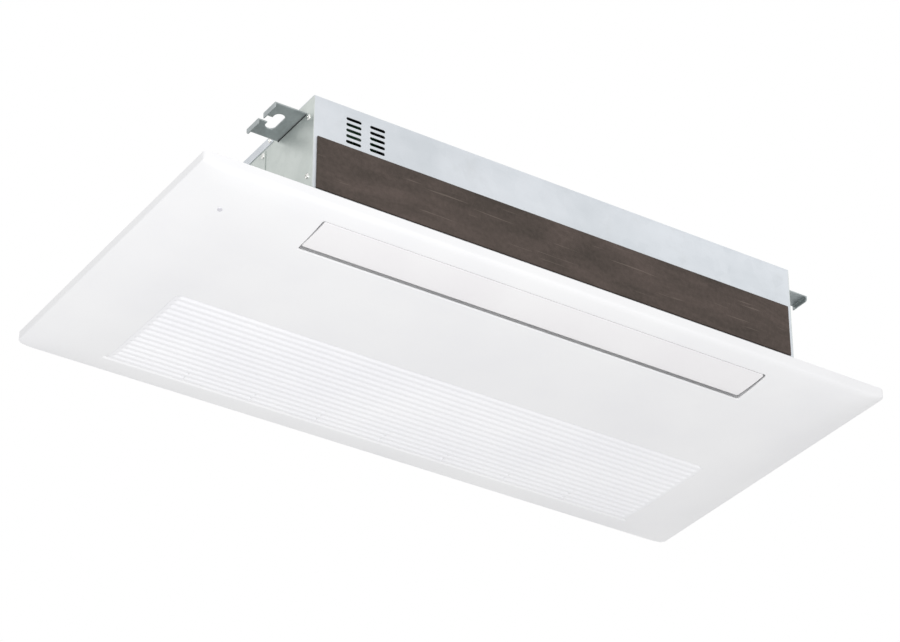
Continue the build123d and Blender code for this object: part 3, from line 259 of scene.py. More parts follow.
def brown_foam():
    """Closed-cell insulation, brown-grey, with cloudy streaks and fine pores."""
    f = Finish("brown_foam", Specular_IOR_Level=0.25)
    streaks = f.noise(16.0, 5.0, 0.62, place=f.stretched((0.35, 1.0, 1.0)), distortion=0.8)
    fine = f.noise(150.0, 4.0, 0.7)
    tone = f.sum(f.spread(streaks, 0.32, 0.68), f.spread(fine, 0.3, 0.7, -0.22, 0.22))
    colour = f.mix(tone, srgb(91, 80, 75), srgb(68, 61, 56))
    hairs = f.spread(f.noise(260.0, 2.0, place=f.stretched((0.04, 1.0, 1.0))), 0.66, 0.72, 0.0, 0.3)
    colour = f.mix(hairs, colour, srgb(136, 124, 116))
    flecks = f.spread(f.cells(900.0), 0.0, 0.16, 0.35, 0.0)
    colour = f.mix(flecks, colour, srgb(128, 116, 108))
    pores = f.cells(620.0)
    rough = f.spread(fine, 0.2, 0.8, 0.82, 0.96)
    relief = f.bump(pores, 0.16 * MM)
    return f.finish(colour, rough, f.bump(streaks, 0.5 * MM, relief))


def soft_black(name, cell_scale, depth, shade):
    """Black foam or rubber with small pores and a grey bloom."""
    f = Finish(name, Specular_IOR_Level=0.3)
    bloom = f.spread(f.noise(70.0, 5.0, 0.6), 0.4, 0.75)
    colour = f.mix(bloom, srgb(shade, shade, shade + 1), srgb(shade + 22, shade + 21, shade + 20))
    pores = f.cells(cell_scale)
    rough = f.spread(pores, 0.0, 0.7, 0.88, 0.62)
    return f.finish(colour, rough, f.bump(pores, depth))


def white_foam():
    """Expanded beads pressed together, with the seams between them."""
    f = Finish("white_foam", Specular_IOR_Level=0.3)
    seams = f.cells(240.0, feature="DISTANCE_TO_EDGE")
    seam = f.spread(seams, 0.0, 0.09, 1.0, 0.0)
    bead = f.cells(240.0, "Color")
    tone = f.add("SeparateColor", {"Color": bead}).outputs[0]
    colour = f.mix(tone, srgb(240, 240, 238), srgb(228, 229, 228))
    colour = f.mix(f.spread(seam, 0.0, 1.0, 0.0, 0.5), colour, srgb(196, 196, 192))
    rough = f.spread(tone, 0.0, 1.0, 0.62, 0.8)
    return f.finish(colour, rough, f.bump(f.spread(seams, 0.0, 0.2), 0.22 * MM))


def grey_plastic():
    """Mid-grey moulding with a light spark finish and scuffed edges."""
    f = Finish("grey_plastic", Specular_IOR_Level=0.4)
    clouds = f.spread(f.noise(24.0, 3.0), 0.3, 0.7)
    colour = f.mix(clouds, srgb(196, 198, 200), srgb(182, 184, 187))
    colour = f.mix(f.spread(f.edges(0.5 * MM), 0.0, 1.0, 0.0, 0.5), colour, srgb(224, 225, 226))
    spark = f.noise(1500.0, 2.0)
    rough = f.spread(spark, 0.3, 0.7, 0.44, 0.58)
    return f.finish(colour, rough, f.bump(spark, 0.015 * MM))


def filter_net():
    """Woven filter thread, dark grey with a dusty haze."""
    f = Finish("filter_net", Specular_IOR_Level=0.3)
    dust = f.spread(f.noise(26.0, 5.0, 0.6), 0.4, 0.75)
    colour = f.mix(dust, srgb(74, 78, 84), srgb(118, 118, 114))
    weave = f.noise(2400.0, 2.0)
    return f.finish(colour, f.spread(dust, 0.0, 1.0, 0.6, 0.85), f.bump(weave, 0.02 * MM))


def motor_grey():
    """Powder coat with orange peel, on the fan, motor and brackets."""
    f = Finish("motor_grey", Specular_IOR_Level=0.5)
    peel = f.noise(620.0, 2.0)
    clouds = f.spread(f.noise(18.0, 3.0), 0.3, 0.7)
    colour = f.mix(clouds, srgb(84, 87, 91), srgb(70, 73, 77))
    colour = f.mix(f.spread(f.edges(0.5 * MM), 0.0, 1.0, 0.0, 0.6), colour, srgb(134, 137, 141))
    rough = f.spread(peel, 0.3, 0.7, 0.36, 0.5)
    return f.finish(colour, rough, f.bump(peel, 0.05 * MM))


def dark_magnet():
    """Sintered magnet, near black, with chipped grey corners."""
    f = Finish("dark_magnet", Metallic=0.35)
    grains = f.cells(1300.0)
    colour = f.mix(f.spread(grains, 0.0, 0.6), srgb(52, 50, 49), srgb(74, 71, 69))
    colour = f.mix(f.edges(0.4 * MM), colour, srgb(124, 120, 117))
    return f.finish(colour, f.spread(grains, 0.0, 0.7, 0.44, 0.66), f.bump(grains, 0.02 * MM))


def lens_smoke():
    """Glossy tinted window of the receiver."""
    f = Finish("lens_smoke", Specular_IOR_Level=0.6, Coat_Weight=0.6, Coat_Roughness=0.06)
    haze = f.spread(f.noise(500.0, 3.0), 0.3, 0.7)
    colour = f.mix(haze, srgb(218, 218, 223), srgb(206, 205, 213))
    return f.finish(colour, f.spread(haze, 0.0, 1.0, 0.1, 0.2), f.bump(haze, 0.004 * MM))


def board_green():
    """Circuit board mask with copper runs showing through it."""
    f = Finish("board_green", Specular_IOR_Level=0.5, Coat_Weight=0.3, Coat_Roughness=0.15)
    values = {
        "Vector": f.place,
        "Scale": 330.0,
        "Mortar Size": 0.035,
        "Color1": (0.0, 0.0, 0.0, 1.0),
        "Color2": (0.15, 0.15, 0.15, 1.0),
        "Mortar": (1.0, 1.0, 1.0, 1.0),
    }
    runs = f.add("TexBrick", values).outputs["Color"]
    run = f.add("SeparateColor", {"Color": runs}).outputs[0]
    pads = f.spread(f.cells(420.0), 0.12, 0.2, 1.0, 0.0)
    colour = f.mix(run, srgb(14, 42, 28), srgb(26, 62, 40))
    colour = f.mix(pads, colour, srgb(96, 94, 86))
    rough = f.spread(pads, 0.0, 1.0, 0.4, 0.26)
    return f.finish(colour, rough, f.bump(f.sum(run, pads), 0.04 * MM))


def fin_aluminium():
    """Thin bright fins with small dents and a dulled bloom."""
    f = Finish("fin_aluminium", Metallic=0.9)
    bloom = f.spread(f.noise(40.0, 4.0, 0.6), 0.35, 0.7)
    colour = f.mix(bloom, srgb(214, 217, 220), srgb(182, 187, 191))
    dents = f.noise(180.0, 3.0)
    return f.finish(colour, f.spread(bloom, 0.0, 1.0, 0.28, 0.44), f.bump(dents, 0.1 * MM))


def warm_metal(name, bright, tarnish, rough_low, rough_high):
    """Copper or brass with tarnish clouds and drawing lines."""
    f = Finish(name, Metallic=1.0)
    cloud = f.spread(f.noise(55.0, 5.0, 0.62), 0.42, 0.74)
    colour = f.mix(cloud, srgb(*bright), srgb(*tarnish))
    lines = f.noise(900.0, 2.0, place=f.stretched((0.08, 1.0, 1.0)))
    colour = f.mix(f.spread(f.edges(0.4 * MM), 0.0, 1.0, 0.0, 0.5), colour, srgb(*bright))
    base = f.spread(cloud, 0.0, 1.0, rough_low, rough_high)
    rough = f.sum(base, f.spread(lines, 0.3, 0.7, -0.04, 0.04))
    return f.finish(colour, rough, f.bump(lines, 0.01 * MM))


FINISHES = {}


def finish_named(name):
    """A finish by name, made when it is first asked for."""
    makers = {
        "panel_white": lambda: moulded_white("panel_white", (246, 246, 247), (242, 242, 244)),
        "grille_white": lambda: moulded_white("grille_white", (248, 248, 250), (244, 244, 247)),
        "louver_white": lambda: moulded_white("louver_white", (247, 246, 247), (243, 241, 243)),
        "casing_steel": lambda: galvanised("casing_steel", (217, 221, 226), (204, 209, 214)),
        # Painted shade: a darker grey-green copy of the casing steel, standing in for the end faces lying in
        # shade.
        "end_steel_painted_shade": lambda: galvanised("end_steel_painted_shade", (208, 214, 210), (192, 199, 195), 80.0),
        # Painted shade: near-black steel for the tray, so that its vent slots read dark as if shaded inside.
        "tray_steel_painted_shade": lambda: galvanised("tray_steel_painted_shade", (58, 60, 62), (44, 46, 48)),
        "lug_steel": lug_steel,
        "bright_steel": bright_steel,
        "brown_foam": brown_foam,
        "black_foam": lambda: soft_black("black_foam", 800.0, 0.14 * MM, 40),
        "black_rubber": lambda: soft_black("black_rubber", 1600.0, 0.03 * MM, 30),
        "white_foam": white_foam,
        "grey_plastic": grey_plastic,
        "filter_net": filter_net,
        "motor_grey": motor_grey,
        "dark_magnet": dark_magnet,
        "lens_smoke": lens_smoke,
        "board_green": board_green,
        "fin_aluminium": fin_aluminium,
        "copper": lambda: warm_metal("copper", (212, 140, 104), (150, 92, 66), 0.26, 0.42),
        "brass": lambda: warm_metal("brass", (214, 186, 118), (168, 140, 82), 0.24, 0.38),
    }
    if name not in FINISHES:
        FINISHES[name] = makers[name]()
    return FINISHES[name]


# Mesh helpers

def spaced(start, end, count):
    """Evenly spaced values from start to end, both included."""
    return [start + (end - start) * number / count for number in range(count + 1)]


def rounding_lines(edge, inward, radius):
    """Grid lines that follow a rounded edge, from the edge inward."""
    return [edge + inward * radius * share for share in (0.0, 0.08, 0.25, 0.55, 1.0)]


def wall_lines(start, end):
    """Grid lines for both faces of an upright wall."""
    return [start - STEP, start, end, end + STEP]


def clean_lines(values, least=0.5 * STEP):
    """Sorted grid lines with near doubles left out."""
    kept = []
    for value in sorted(values):
        if not kept or value - kept[-1] > least:
            kept.append(value)
    return kept


def round_edge(distance, radius):
    """How far a rounded edge draws in, at a distance from that edge."""
    if distance >= radius:
        return 0.0
    return radius - math.sqrt(max(radius**2 - (radius - max(distance, 0.0)) ** 2, 0.0))


def smooth_step(value):
    """Gentle step from 0 to 1."""
    value = min(max(value, 0.0), 1.0)
    return value * value * (3 - 2 * value)


def round_outline(x, y, half_x, low_y, high_y, radius):
    """Turn the square corners of a grid into round ones."""
    middle, half_y = (low_y + high_y) / 2, (high_y - low_y) / 2
    over_x = abs(x) - (half_x - radius)
    over_y = abs(y - middle) - (half_y - radius)
    if over_x <= 0 or over_y <= 0:
        return x, y
    share = max(over_x, over_y) / math.hypot(over_x, over_y)
    new_x = math.copysign(half_x - radius + over_x * share, x)
    return new_x, middle + math.copysign(half_y - radius + over_y * share, y - middle)


def slab(bm, xs, ys, low, high, is_open=None, place=None):
    """Closed solid between two height rules over a grid, walled wherever a cell is open."""
    place = place or (lambda x, y: (x, y))
    filled = {
        (i, j)
        for i in range(len(xs) - 1)
        for j in range(len(ys) - 1)
        if not (is_open and is_open((xs[i] + xs[i + 1]) / 2, (ys[j] + ys[j + 1]) / 2))
    }
    made = {}

    def corner(i, j, level):
        if (i, j, level) not in made:
            height = (low, high)[level](xs[i], ys[j])
            made[i, j, level] = bm.verts.new((*place(xs[i], ys[j]), height))
        return made[i, j, level]

    for i, j in sorted(filled):
        loop = ((i, j), (i + 1, j), (i + 1, j + 1), (i, j + 1))
        bm.faces.new([corner(a, b, 1) for a, b in loop])
        bm.faces.new([corner(a, b, 0) for a, b in reversed(loop)])
        for k, (step_i, step_j) in enumerate(((0, -1), (1, 0), (0, 1), (-1, 0))):
            if (i + step_i, j + step_j) not in filled:
                a, b = loop[k], loop[(k + 1) % 4]
                bm.faces.new([corner(*a, 0), corner(*b, 0), corner(*b, 1), corner(*a, 1)])


def add_box(bm, low, high):
    """Upright box between two corners."""
    slab(bm, (low[0], high[0]), (low[1], high[1]), lambda x, y: low[2], lambda x, y: high[2])


def add_turned(bm, profile, origin, axis, sides=32):
    """Turned solid from (distance along, radius) pairs, round an axis through a point."""
    axis = Vector(axis).normalized()
    across = axis.orthogonal().normalized()
    along = axis.cross(across)
    rings = []
    for distance, radius in profile:
        centre = Vector(origin) + axis * distance
        if radius <= 0:
            rings.append([bm.verts.new(centre)])
            continue
        turns = (2 * math.pi * k / sides for k in range(sides))
        rings.append(
            [bm.verts.new(centre + radius * (math.cos(t) * across + math.sin(t) * along)) for t in turns]
        )
    for ring, following in zip(rings, rings[1:]):
        for k in range(sides):
            n = (k + 1) % sides
            if len(ring) == 1:
                bm.faces.new((ring[0], following[n], following[k]))
            elif len(following) == 1:
                bm.faces.new((ring[k], ring[n], following[0]))
            else:
                bm.faces.new((ring[k], ring[n], following[n], following[k]))
    for ring, turn in ((rings[0], -1), (rings[-1], 1)):
        if len(ring) > 1:
            bm.faces.new(ring[::turn])


def add_rod(bm, start, end, radius, sides=32, soften=0.0):
    """Round bar between two points, with softened ends."""
    length = (Vector(end) - Vector(start)).length
    profile = [(0.0, radius), (length, radius)]
    if soften:
        profile = [
            (0.0, radius - soften),
            (soften * 0.3, radius - soften * 0.3),
            (soften, radius),
            (length - soften, radius),
            (length - soften * 0.3, radius - soften * 0.3),
            (length, radius - soften),
        ]
    add_turned(bm, profile, start, Vector(end) - Vector(start), sides)


def prism(outline, length):
    """Closed bmesh between an outline and its copy further along X."""
    bm = bmesh.new()
    left = [bm.verts.new(point) for point in outline]
    right = [bm.verts.new(point + Vector((length, 0.0, 0.0))) for point in outline]
    for number in range(len(outline)):
        following = (number + 1) % len(outline)
        bm.faces.new((left[number], left[following], right[following], right[number]))
    bm.faces.new(left[::-1])
    bm.faces.new(right)
    bmesh.ops.recalc_face_normals(bm, faces=bm.faces)
    return bm


def merged(node):
    """Copy of a node's mesh as joined faces instead of loose triangles."""
    bm = bmesh.new()
    bm.from_mesh(frame["nodes"][node].data)
    bmesh.ops.remove_doubles(bm, verts=bm.verts, dist=0.002 * MM)
    return bm


def as_object(name, source):
    """Object at the origin from a bmesh or a mesh."""
    if isinstance(source, bmesh.types.BMesh):
        mesh = bpy.data.meshes.new(name)
        source.to_mesh(mesh)
        source.free()
    else:
        mesh = source
        mesh.name = name
    piece = bpy.data.objects.new(name, mesh)
    bpy.context.scene.collection.objects.link(piece)
    return piece


def shade(piece, weighted=True):
    """Smooth shading with crisp edges."""
    piece.data.shade_smooth()
    piece.data.set_sharp_from_angle(angle=SMOOTH_ANGLE)
    if weighted:
        normals = piece.modifiers.new("normals", "WEIGHTED_NORMAL")
        normals.keep_sharp = True
        normals.weight = 90


def settle(piece, finish, slot, body, *nodes):
    """Give a piece its finish and body, and hide the nodes that it stands for; its slot is not used."""
    piece.data.materials.clear()
    piece.data.materials.append(finish_named(finish))
    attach(piece, body)
    if nodes:
        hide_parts(*nodes)
    return piece


def refine(node, finish, slot, bevel=0.0, segments=2):
    """Finished copy of a node, with its edges eased and its round faces smooth."""
    bm = merged(node)
    if bevel:
        bmesh.ops.dissolve_limit(
            bm,
            angle_limit=math.radians(0.5),
            verts=bm.verts,
            edges=bm.edges,
            use_dissolve_boundaries=False,
        )
    piece = as_object(node + "_finished", bm)
    if bevel:
        easing = piece.modifiers.new("edges", "BEVEL")
        easing.width = bevel
        easing.segments = segments
        easing.limit_method = "ANGLE"
        easing.angle_limit = SMOOTH_ANGLE
        easing.use_clamp_overlap = True
    shade(piece)
    return settle(piece, finish, slot, BODY_OF[node], node)


# Geometry node helpers

class NodeTree(Nodes):
    """A geometry node tree with named inputs, ending in real faces and a material."""

    def __init__(self, name, **inputs):
        self.tree = bpy.data.node_groups.new(name, "GeometryNodeTree")
        face = self.tree.interface
        face.new_socket("Geometry", in_out="INPUT", socket_type="NodeSocketGeometry")
        for key, (kind, default) in inputs.items():
            title = key.replace("_", " ")
            socket = face.new_socket(title, in_out="INPUT", socket_type="NodeSocket" + kind)
            if default is not None:
                socket.default_value = default
        face.new_socket("Material", in_out="INPUT", socket_type="NodeSocketMaterial")
        face.new_socket("Geometry", in_out="OUTPUT", socket_type="NodeSocketGeometry")
        self.given = self.tree.nodes.new("NodeGroupInput")
        self.result = self.tree.nodes.new("NodeGroupOutput")

    def __getitem__(self, name):
        return self.given.outputs[name]

    def close(self, geometry):
        """Real faces and one material at the end of the tree."""
        real = self.add("GeometryNodeRealizeInstances", {"Geometry": geometry})
        values = {"Geometry": real.outputs[0], "Material": self["Material"]}
        painted = self.add("GeometryNodeSetMaterial", values)
        self.put(self.result.inputs[0], painted.outputs[0])
        return self.tree


def grown(name, tree, finish, start=None, **values):
    """Plain mesh that a node tree makes from a starting mesh and its inputs."""
    seed_mesh = start or bpy.data.meshes.new(name + "_start")
    holder = as_object(name + "_holder", seed_mesh)
    modifier = holder.modifiers.new("growth", "NODES")
    modifier.node_group = tree
    given = {key.replace("_", " "): value for key, value in values.items()}
    given["Material"] = finish_named(finish)
    for socket in tree.interface.items_tree:
        if socket.in_out == "INPUT" and socket.name in given:
            modifier[socket.identifier] = given[socket.name]
    graph = bpy.context.evaluated_depsgraph_get()
    result = bpy.data.meshes.new_from_object(holder.evaluated_get(graph), depsgraph=graph)
    holder.modifiers.remove(modifier)
    bpy.data.objects.remove(holder)
    return result


def repeated(name, tree, finish, unit, **values):
    """Plain mesh of the copies that a node tree makes of one unit."""
    piece = as_object(name + "_unit", unit)
    mesh = grown(name, tree, finish, Piece=piece, **values)
    bpy.data.objects.remove(piece)
    return mesh


def row_tree():
    """Copies of one piece in a straight row."""
    tree = NodeTree(
        "row_of_pieces",
        Piece=("Object", None),
        Count=("Int", 2),
        Start=("Vector", (0.0, 0.0, 0.0)),
        Step=("Vector", (0.01, 0.0, 0.0)),
    )
    line = tree.add(
        "GeometryNodeMeshLine",
        {"Count": tree["Count"], "Start Location": tree["Start"], "Offset": tree["Step"]},
    )
    info = tree.add("GeometryNodeObjectInfo", {"Object": tree["Piece"]})
    copies = tree.add(
        "GeometryNodeInstanceOnPoints",
        {"Points": line.outputs[0], "Instance": info.outputs["Geometry"]},
    )
    return tree.close(copies.outputs[0])


def ring_tree():
    """Copies of one piece round an axis along X, repeated in bays."""
    tree = NodeTree(
        "ring_of_blades",
        Piece=("Object", None),
        Blades=("Int", 20),
        Bays=("Int", 5),
        Start=("Vector", (0.0, 0.0, 0.0)),
        Step=("Vector", (0.1, 0.0, 0.0)),
        Stagger=("Float", 0.0),
    )
    line = tree.add(
        "GeometryNodeMeshLine",
        {"Count": tree["Bays"], "Start Location": tree["Start"], "Offset": tree["Step"]},
    )
    copied = tree.add(
        "GeometryNodeDuplicateElements",
        {"Geometry": line.outputs[0], "Amount": tree["Blades"]},
        domain="POINT",
    )
    turn = tree.add("ShaderNodeMath", operation="DIVIDE")
    tree.put(turn.inputs[0], copied.outputs["Duplicate Index"])
    tree.put(turn.inputs[1], tree["Blades"])
    index = tree.add("GeometryNodeInputIndex")
    bay = tree.add("ShaderNodeMath", operation="MULTIPLY")
    tree.put(bay.inputs[0], index.outputs[0])
    tree.put(bay.inputs[1], tree["Stagger"])
    angle = tree.add("ShaderNodeMath", operation="MULTIPLY_ADD")
    tree.put(angle.inputs[0], turn.outputs[0])
    tree.put(angle.inputs[1], 2 * math.pi)
    tree.put(angle.inputs[2], bay.outputs[0])
    spin = tree.add("ShaderNodeCombineXYZ", {"X": angle.outputs[0]})
    info = tree.add("GeometryNodeObjectInfo", {"Object": tree["Piece"]})
    copies = tree.add(
        "GeometryNodeInstanceOnPoints",
        {
            "Points": copied.outputs[0],
            "Instance": info.outputs["Geometry"],
            "Rotation": spin.outputs[0],
        },
    )
    return tree.close(copies.outputs[0])


def screw_tree():
    """Screw heads seated on points, each turned by chance about its own axis."""
    tree = NodeTree(
        "seated_screws",
        Head=("Object", None),
        Seed=("Int", 1),
    )
    facing = tree.add("GeometryNodeInputNamedAttribute", data_type="FLOAT_VECTOR")
    facing.inputs["Name"].default_value = "facing"
    aim = tree.add("FunctionNodeAlignRotationToVector", {"Vector": facing.outputs[0]}, axis="Z")
    chance = tree.add("FunctionNodeRandomValue", {"Seed": tree["Seed"]}, data_type="FLOAT")
    chance.inputs[2].default_value = 0.0
    chance.inputs[3].default_value = math.pi / 2
    spin = tree.add("ShaderNodeCombineXYZ", {"Z": chance.outputs[1]})
    turned = tree.add("FunctionNodeRotateRotation", {"Rotation": aim.outputs[0]}, rotation_space="LOCAL")
    tree.put(turned.inputs["Rotate By"], spin.outputs[0])
    info = tree.add("GeometryNodeObjectInfo", {"Object": tree["Head"]})
    copies = tree.add(
        "GeometryNodeInstanceOnPoints",
        {
            "Points": tree["Geometry"],
            "Instance": info.outputs["Geometry"],
            "Rotation": turned.outputs[0],
        },
    )
    return tree.close(copies.outputs[0])


# Settings that a user would change

def length(name, description, default):
    """Length setting with its default in metres."""
    return bpy.props.FloatProperty(name=name, description=description, default=default, unit="LENGTH")


class CassettePanelSettings(bpy.types.PropertyGroup):
    """Sizes of the trim panel."""

    rim: length("Rim", "Height of the upright rim", 14.5 * MM)
    wall: length("Wall", "Thickness of the moulding", 2.5 * MM)
    end_slope: length("End slope", "Length of the slope at each end", 130 * MM)
    crease: length("Crease", "Softness where the slopes meet", 7 * MM)
    corner: length("Corner", "Radius of the panel's corners", 8 * MM)
    edge: length("Edge", "Rounding of the rim's lower edge", 1.6 * MM)
    opening_half: length("Outlet half length", "Half the length of the outlet", 385.5 * MM)
    opening_near: length("Outlet near side", "Place of the outlet's outer side", -255 * MM)
    opening_far: length("Outlet far side", "Place of the outlet's inner side", -183 * MM)
    opening_edge: length("Opening edge", "Rounding of the openings' edges", 0.7 * MM)
    rib_wall: length("Rib", "Thickness of the stiffening ribs", 1.8 * MM)
    rib_pitch: length("Rib pitch", "Distance between the ribs", 30 * MM)


class CassetteGrilleSettings(bpy.types.PropertyGroup):
    """Sizes of the intake grille."""

    first: length("First groove", "Place of the first groove", 14.7 * MM)
    pitch: length("Pitch", "Distance between the grooves", 13.53 * MM)
    grooves: bpy.props.IntProperty(
        name="Grooves", description="Number of grooves", default=17
    )
    depth: length("Groove depth", "Depth of each groove", 3.6 * MM)
    reach: length("Groove reach", "Half the width of each groove", 4.6 * MM)
    fade: length("Fade", "Length over which a groove ends", 8 * MM)
    slot_near: length("Slot start", "Near side of each slot from its groove", -3.3 * MM)
    slot_far: length("Slot end", "Far side of each slot from its groove", -1.2 * MM)
    thickness: length("Thickness", "Thickness of the grille", 7 * MM)


class CassetteWorksSettings(bpy.types.PropertyGroup):
    """Sizes of what repeats inside the unit."""

    fin_pitch: length("Fin pitch", "Distance between the coil fins", 2.2 * MM)
    fin_thickness: length("Fin thickness", "Thickness of a coil fin", 0.25 * MM)
    thread_pitch: length("Thread pitch", "Distance between filter threads", 2.4 * MM)
    thread: length("Thread", "Thickness of a filter thread", 0.45 * MM)
    blades: bpy.props.IntProperty(
        name="Fan blades", description="Blades in each bay of the fan", default=34
    )
    head_radius: length("Screw head", "Radius of a pan head", 4.5 * MM)
    seed: bpy.props.IntProperty(name="Seed", description="Chance turn of the screw heads", default=7)


class CassetteStageSettings(bpy.types.PropertyGroup):
    """Camera, lamps and backdrop."""

    azimuth: bpy.props.FloatProperty(
        name="Azimuth",
        description="Direction of view from +Y",
        default=math.radians(32.8426),
        subtype="ANGLE",
    )
    elevation: bpy.props.FloatProperty(
        name="Elevation",
        description="Upward tilt of the view",
        default=math.radians(31.498),
        subtype="ANGLE",
    )
    roll: bpy.props.FloatProperty(
        name="Roll",
        description="Turn about the line of sight",
        default=math.radians(0.0915),
        subtype="ANGLE",
    )
    camera: bpy.props.FloatVectorProperty(
        name="Camera",
        description="Place of the camera",
        default=(-2.18029, -3.35687, -2.38069),
        unit="LENGTH",
    )
    lens: bpy.props.FloatProperty(
        name="Lens", description="Focal length in millimetres", default=124.19
    )
    floor_height: length("Floor", "Height of the floor", -8.5)
    surround: bpy.props.FloatProperty(
        name="Surround", description="Strength of the light from all sides", default=0.72
    )
    key: bpy.props.FloatProperty(
        name="Key lamp", description="Power of the key lamp in watts", default=44.0
    )
    fill: bpy.props.FloatProperty(
        name="Fill lamp", description="Power of the fill lamp in watts", default=5.0
    )


# Shape of the trim panel

DOME_POWER = 3
SLOPE_RISE = 2 * MM
SLOPE_CURVE = 1.8
SLOPE_FLATTENING = 0.9
GROOVE_END_MARGIN = 3 * MM
HINGE_GROOVE_EXTRA = 1 * MM
DOOR_END_GAP = 0.2 * MM
DOOR_NEAR_GAP = 0.3 * MM
DOOR_FAR_GAP = 0.7 * MM
OPENING_CORNER = 5 * MM

# Walls and mouth behind the panel, each as half length, near side and far side
OUTLET = (388 * MM, -257.5 * MM, -176 * MM)
INTAKE = (474 * MM, 8 * MM, 246 * MM)
MOUTH = (395 * MM, 8 * MM, 238 * MM)
WALL_TOP = -1 * MM
RIB_TOP = -7 * MM
SKIN_TOP = -9 * MM
PLATE_LOW = -3.5 * MM
PLATE_HIGH = -1.05 * MM

HINGE_PIN_HALF = 10.3 * MM
HINGE_RADIUS = 1.9 * MM
HINGE_EASE = 0.3 * MM
HINGE_BELOW = 0.4 * MM
HINGE_ABOVE = 2.2 * MM
EAR_WIDTH = 5 * MM
EAR_REACH = 8 * MM
KNUCKLE_HALF = 5 * MM
KNUCKLE_REACH = 7 * MM


def hinge_line():
    """Place across and height of the hinge, and the middle of each pin along it."""
    low, high = corners("grille_hinge_pins")
    y, z = (low[1] + high[1]) / 2, (low[2] + high[2]) / 2
    return y, z, (low[0] + HINGE_PIN_HALF, 0.0, high[0] - HINGE_PIN_HALF)


def across_depth(settings, y):
    """Depth of the dome across the panel."""
    half = PANEL_HIGH[1]
    rise = -PANEL_LOW[2] - settings.rim
    return settings.rim + rise * math.sqrt(max(1 - min(abs(y) / half, 1.0) ** DOME_POWER, 0.0))


def along_depth(settings, x):
    """Depth of the dome along the panel."""
    share = min(max((PANEL_HIGH[0] - abs(x)) / settings.end_slope, 0.0), 1.0)
    rise = -PANEL_LOW[2] - settings.rim + SLOPE_RISE
    return settings.rim + rise * (1 - (1 - share) ** SLOPE_CURVE) ** SLOPE_FLATTENING


def dome_height(settings, x, y):
    """Height of the dome, with the two slopes blended softly."""
    across, along = across_depth(settings, y), along_depth(settings, x)
    near = max(settings.crease - abs(across - along), 0.0) / settings.crease
    return -(min(across, along) - near**2 * settings.crease / 4)


def groove_lines(grille):
    """Places of the grooves across the panel."""
    return [grille.first + grille.pitch * k for k in range(grille.grooves)]


def groove_depth(grille, x, y):
    """Depth of the grooves at a point of the dome, soft on their far side and at their ends."""
    number = round((y - grille.first) / grille.pitch)
    if number < 0 or number >= grille.grooves:
        return 0.0
    offset = y - grille.first - grille.pitch * number
    if abs(offset) >= grille.reach:
        return 0.0
    steep = smooth_step((offset + grille.reach) / (grille.reach + grille.slot_near))
    gentle = smooth_step((grille.reach - offset) / (grille.reach - grille.slot_far))
    end = GRILLE_HIGH[0] - GROOVE_END_MARGIN
    if number == grille.grooves - 1:
        end = GRILLE_HIGH[0] + grille.fade + HINGE_GROOVE_EXTRA
    return grille.depth * min(steep, gentle) * smooth_step((end - abs(x)) / grille.fade)


def ring_of(value_x, value_y, half_x, low_y, high_y, wall):
    """True on an upright wall that runs round an opening."""
    inside = abs(value_x) <= half_x and low_y <= value_y <= high_y
    outside = abs(value_x) > half_x + wall or not (low_y - wall <= value_y <= high_y + wall)
    return not inside and not outside


# Operators

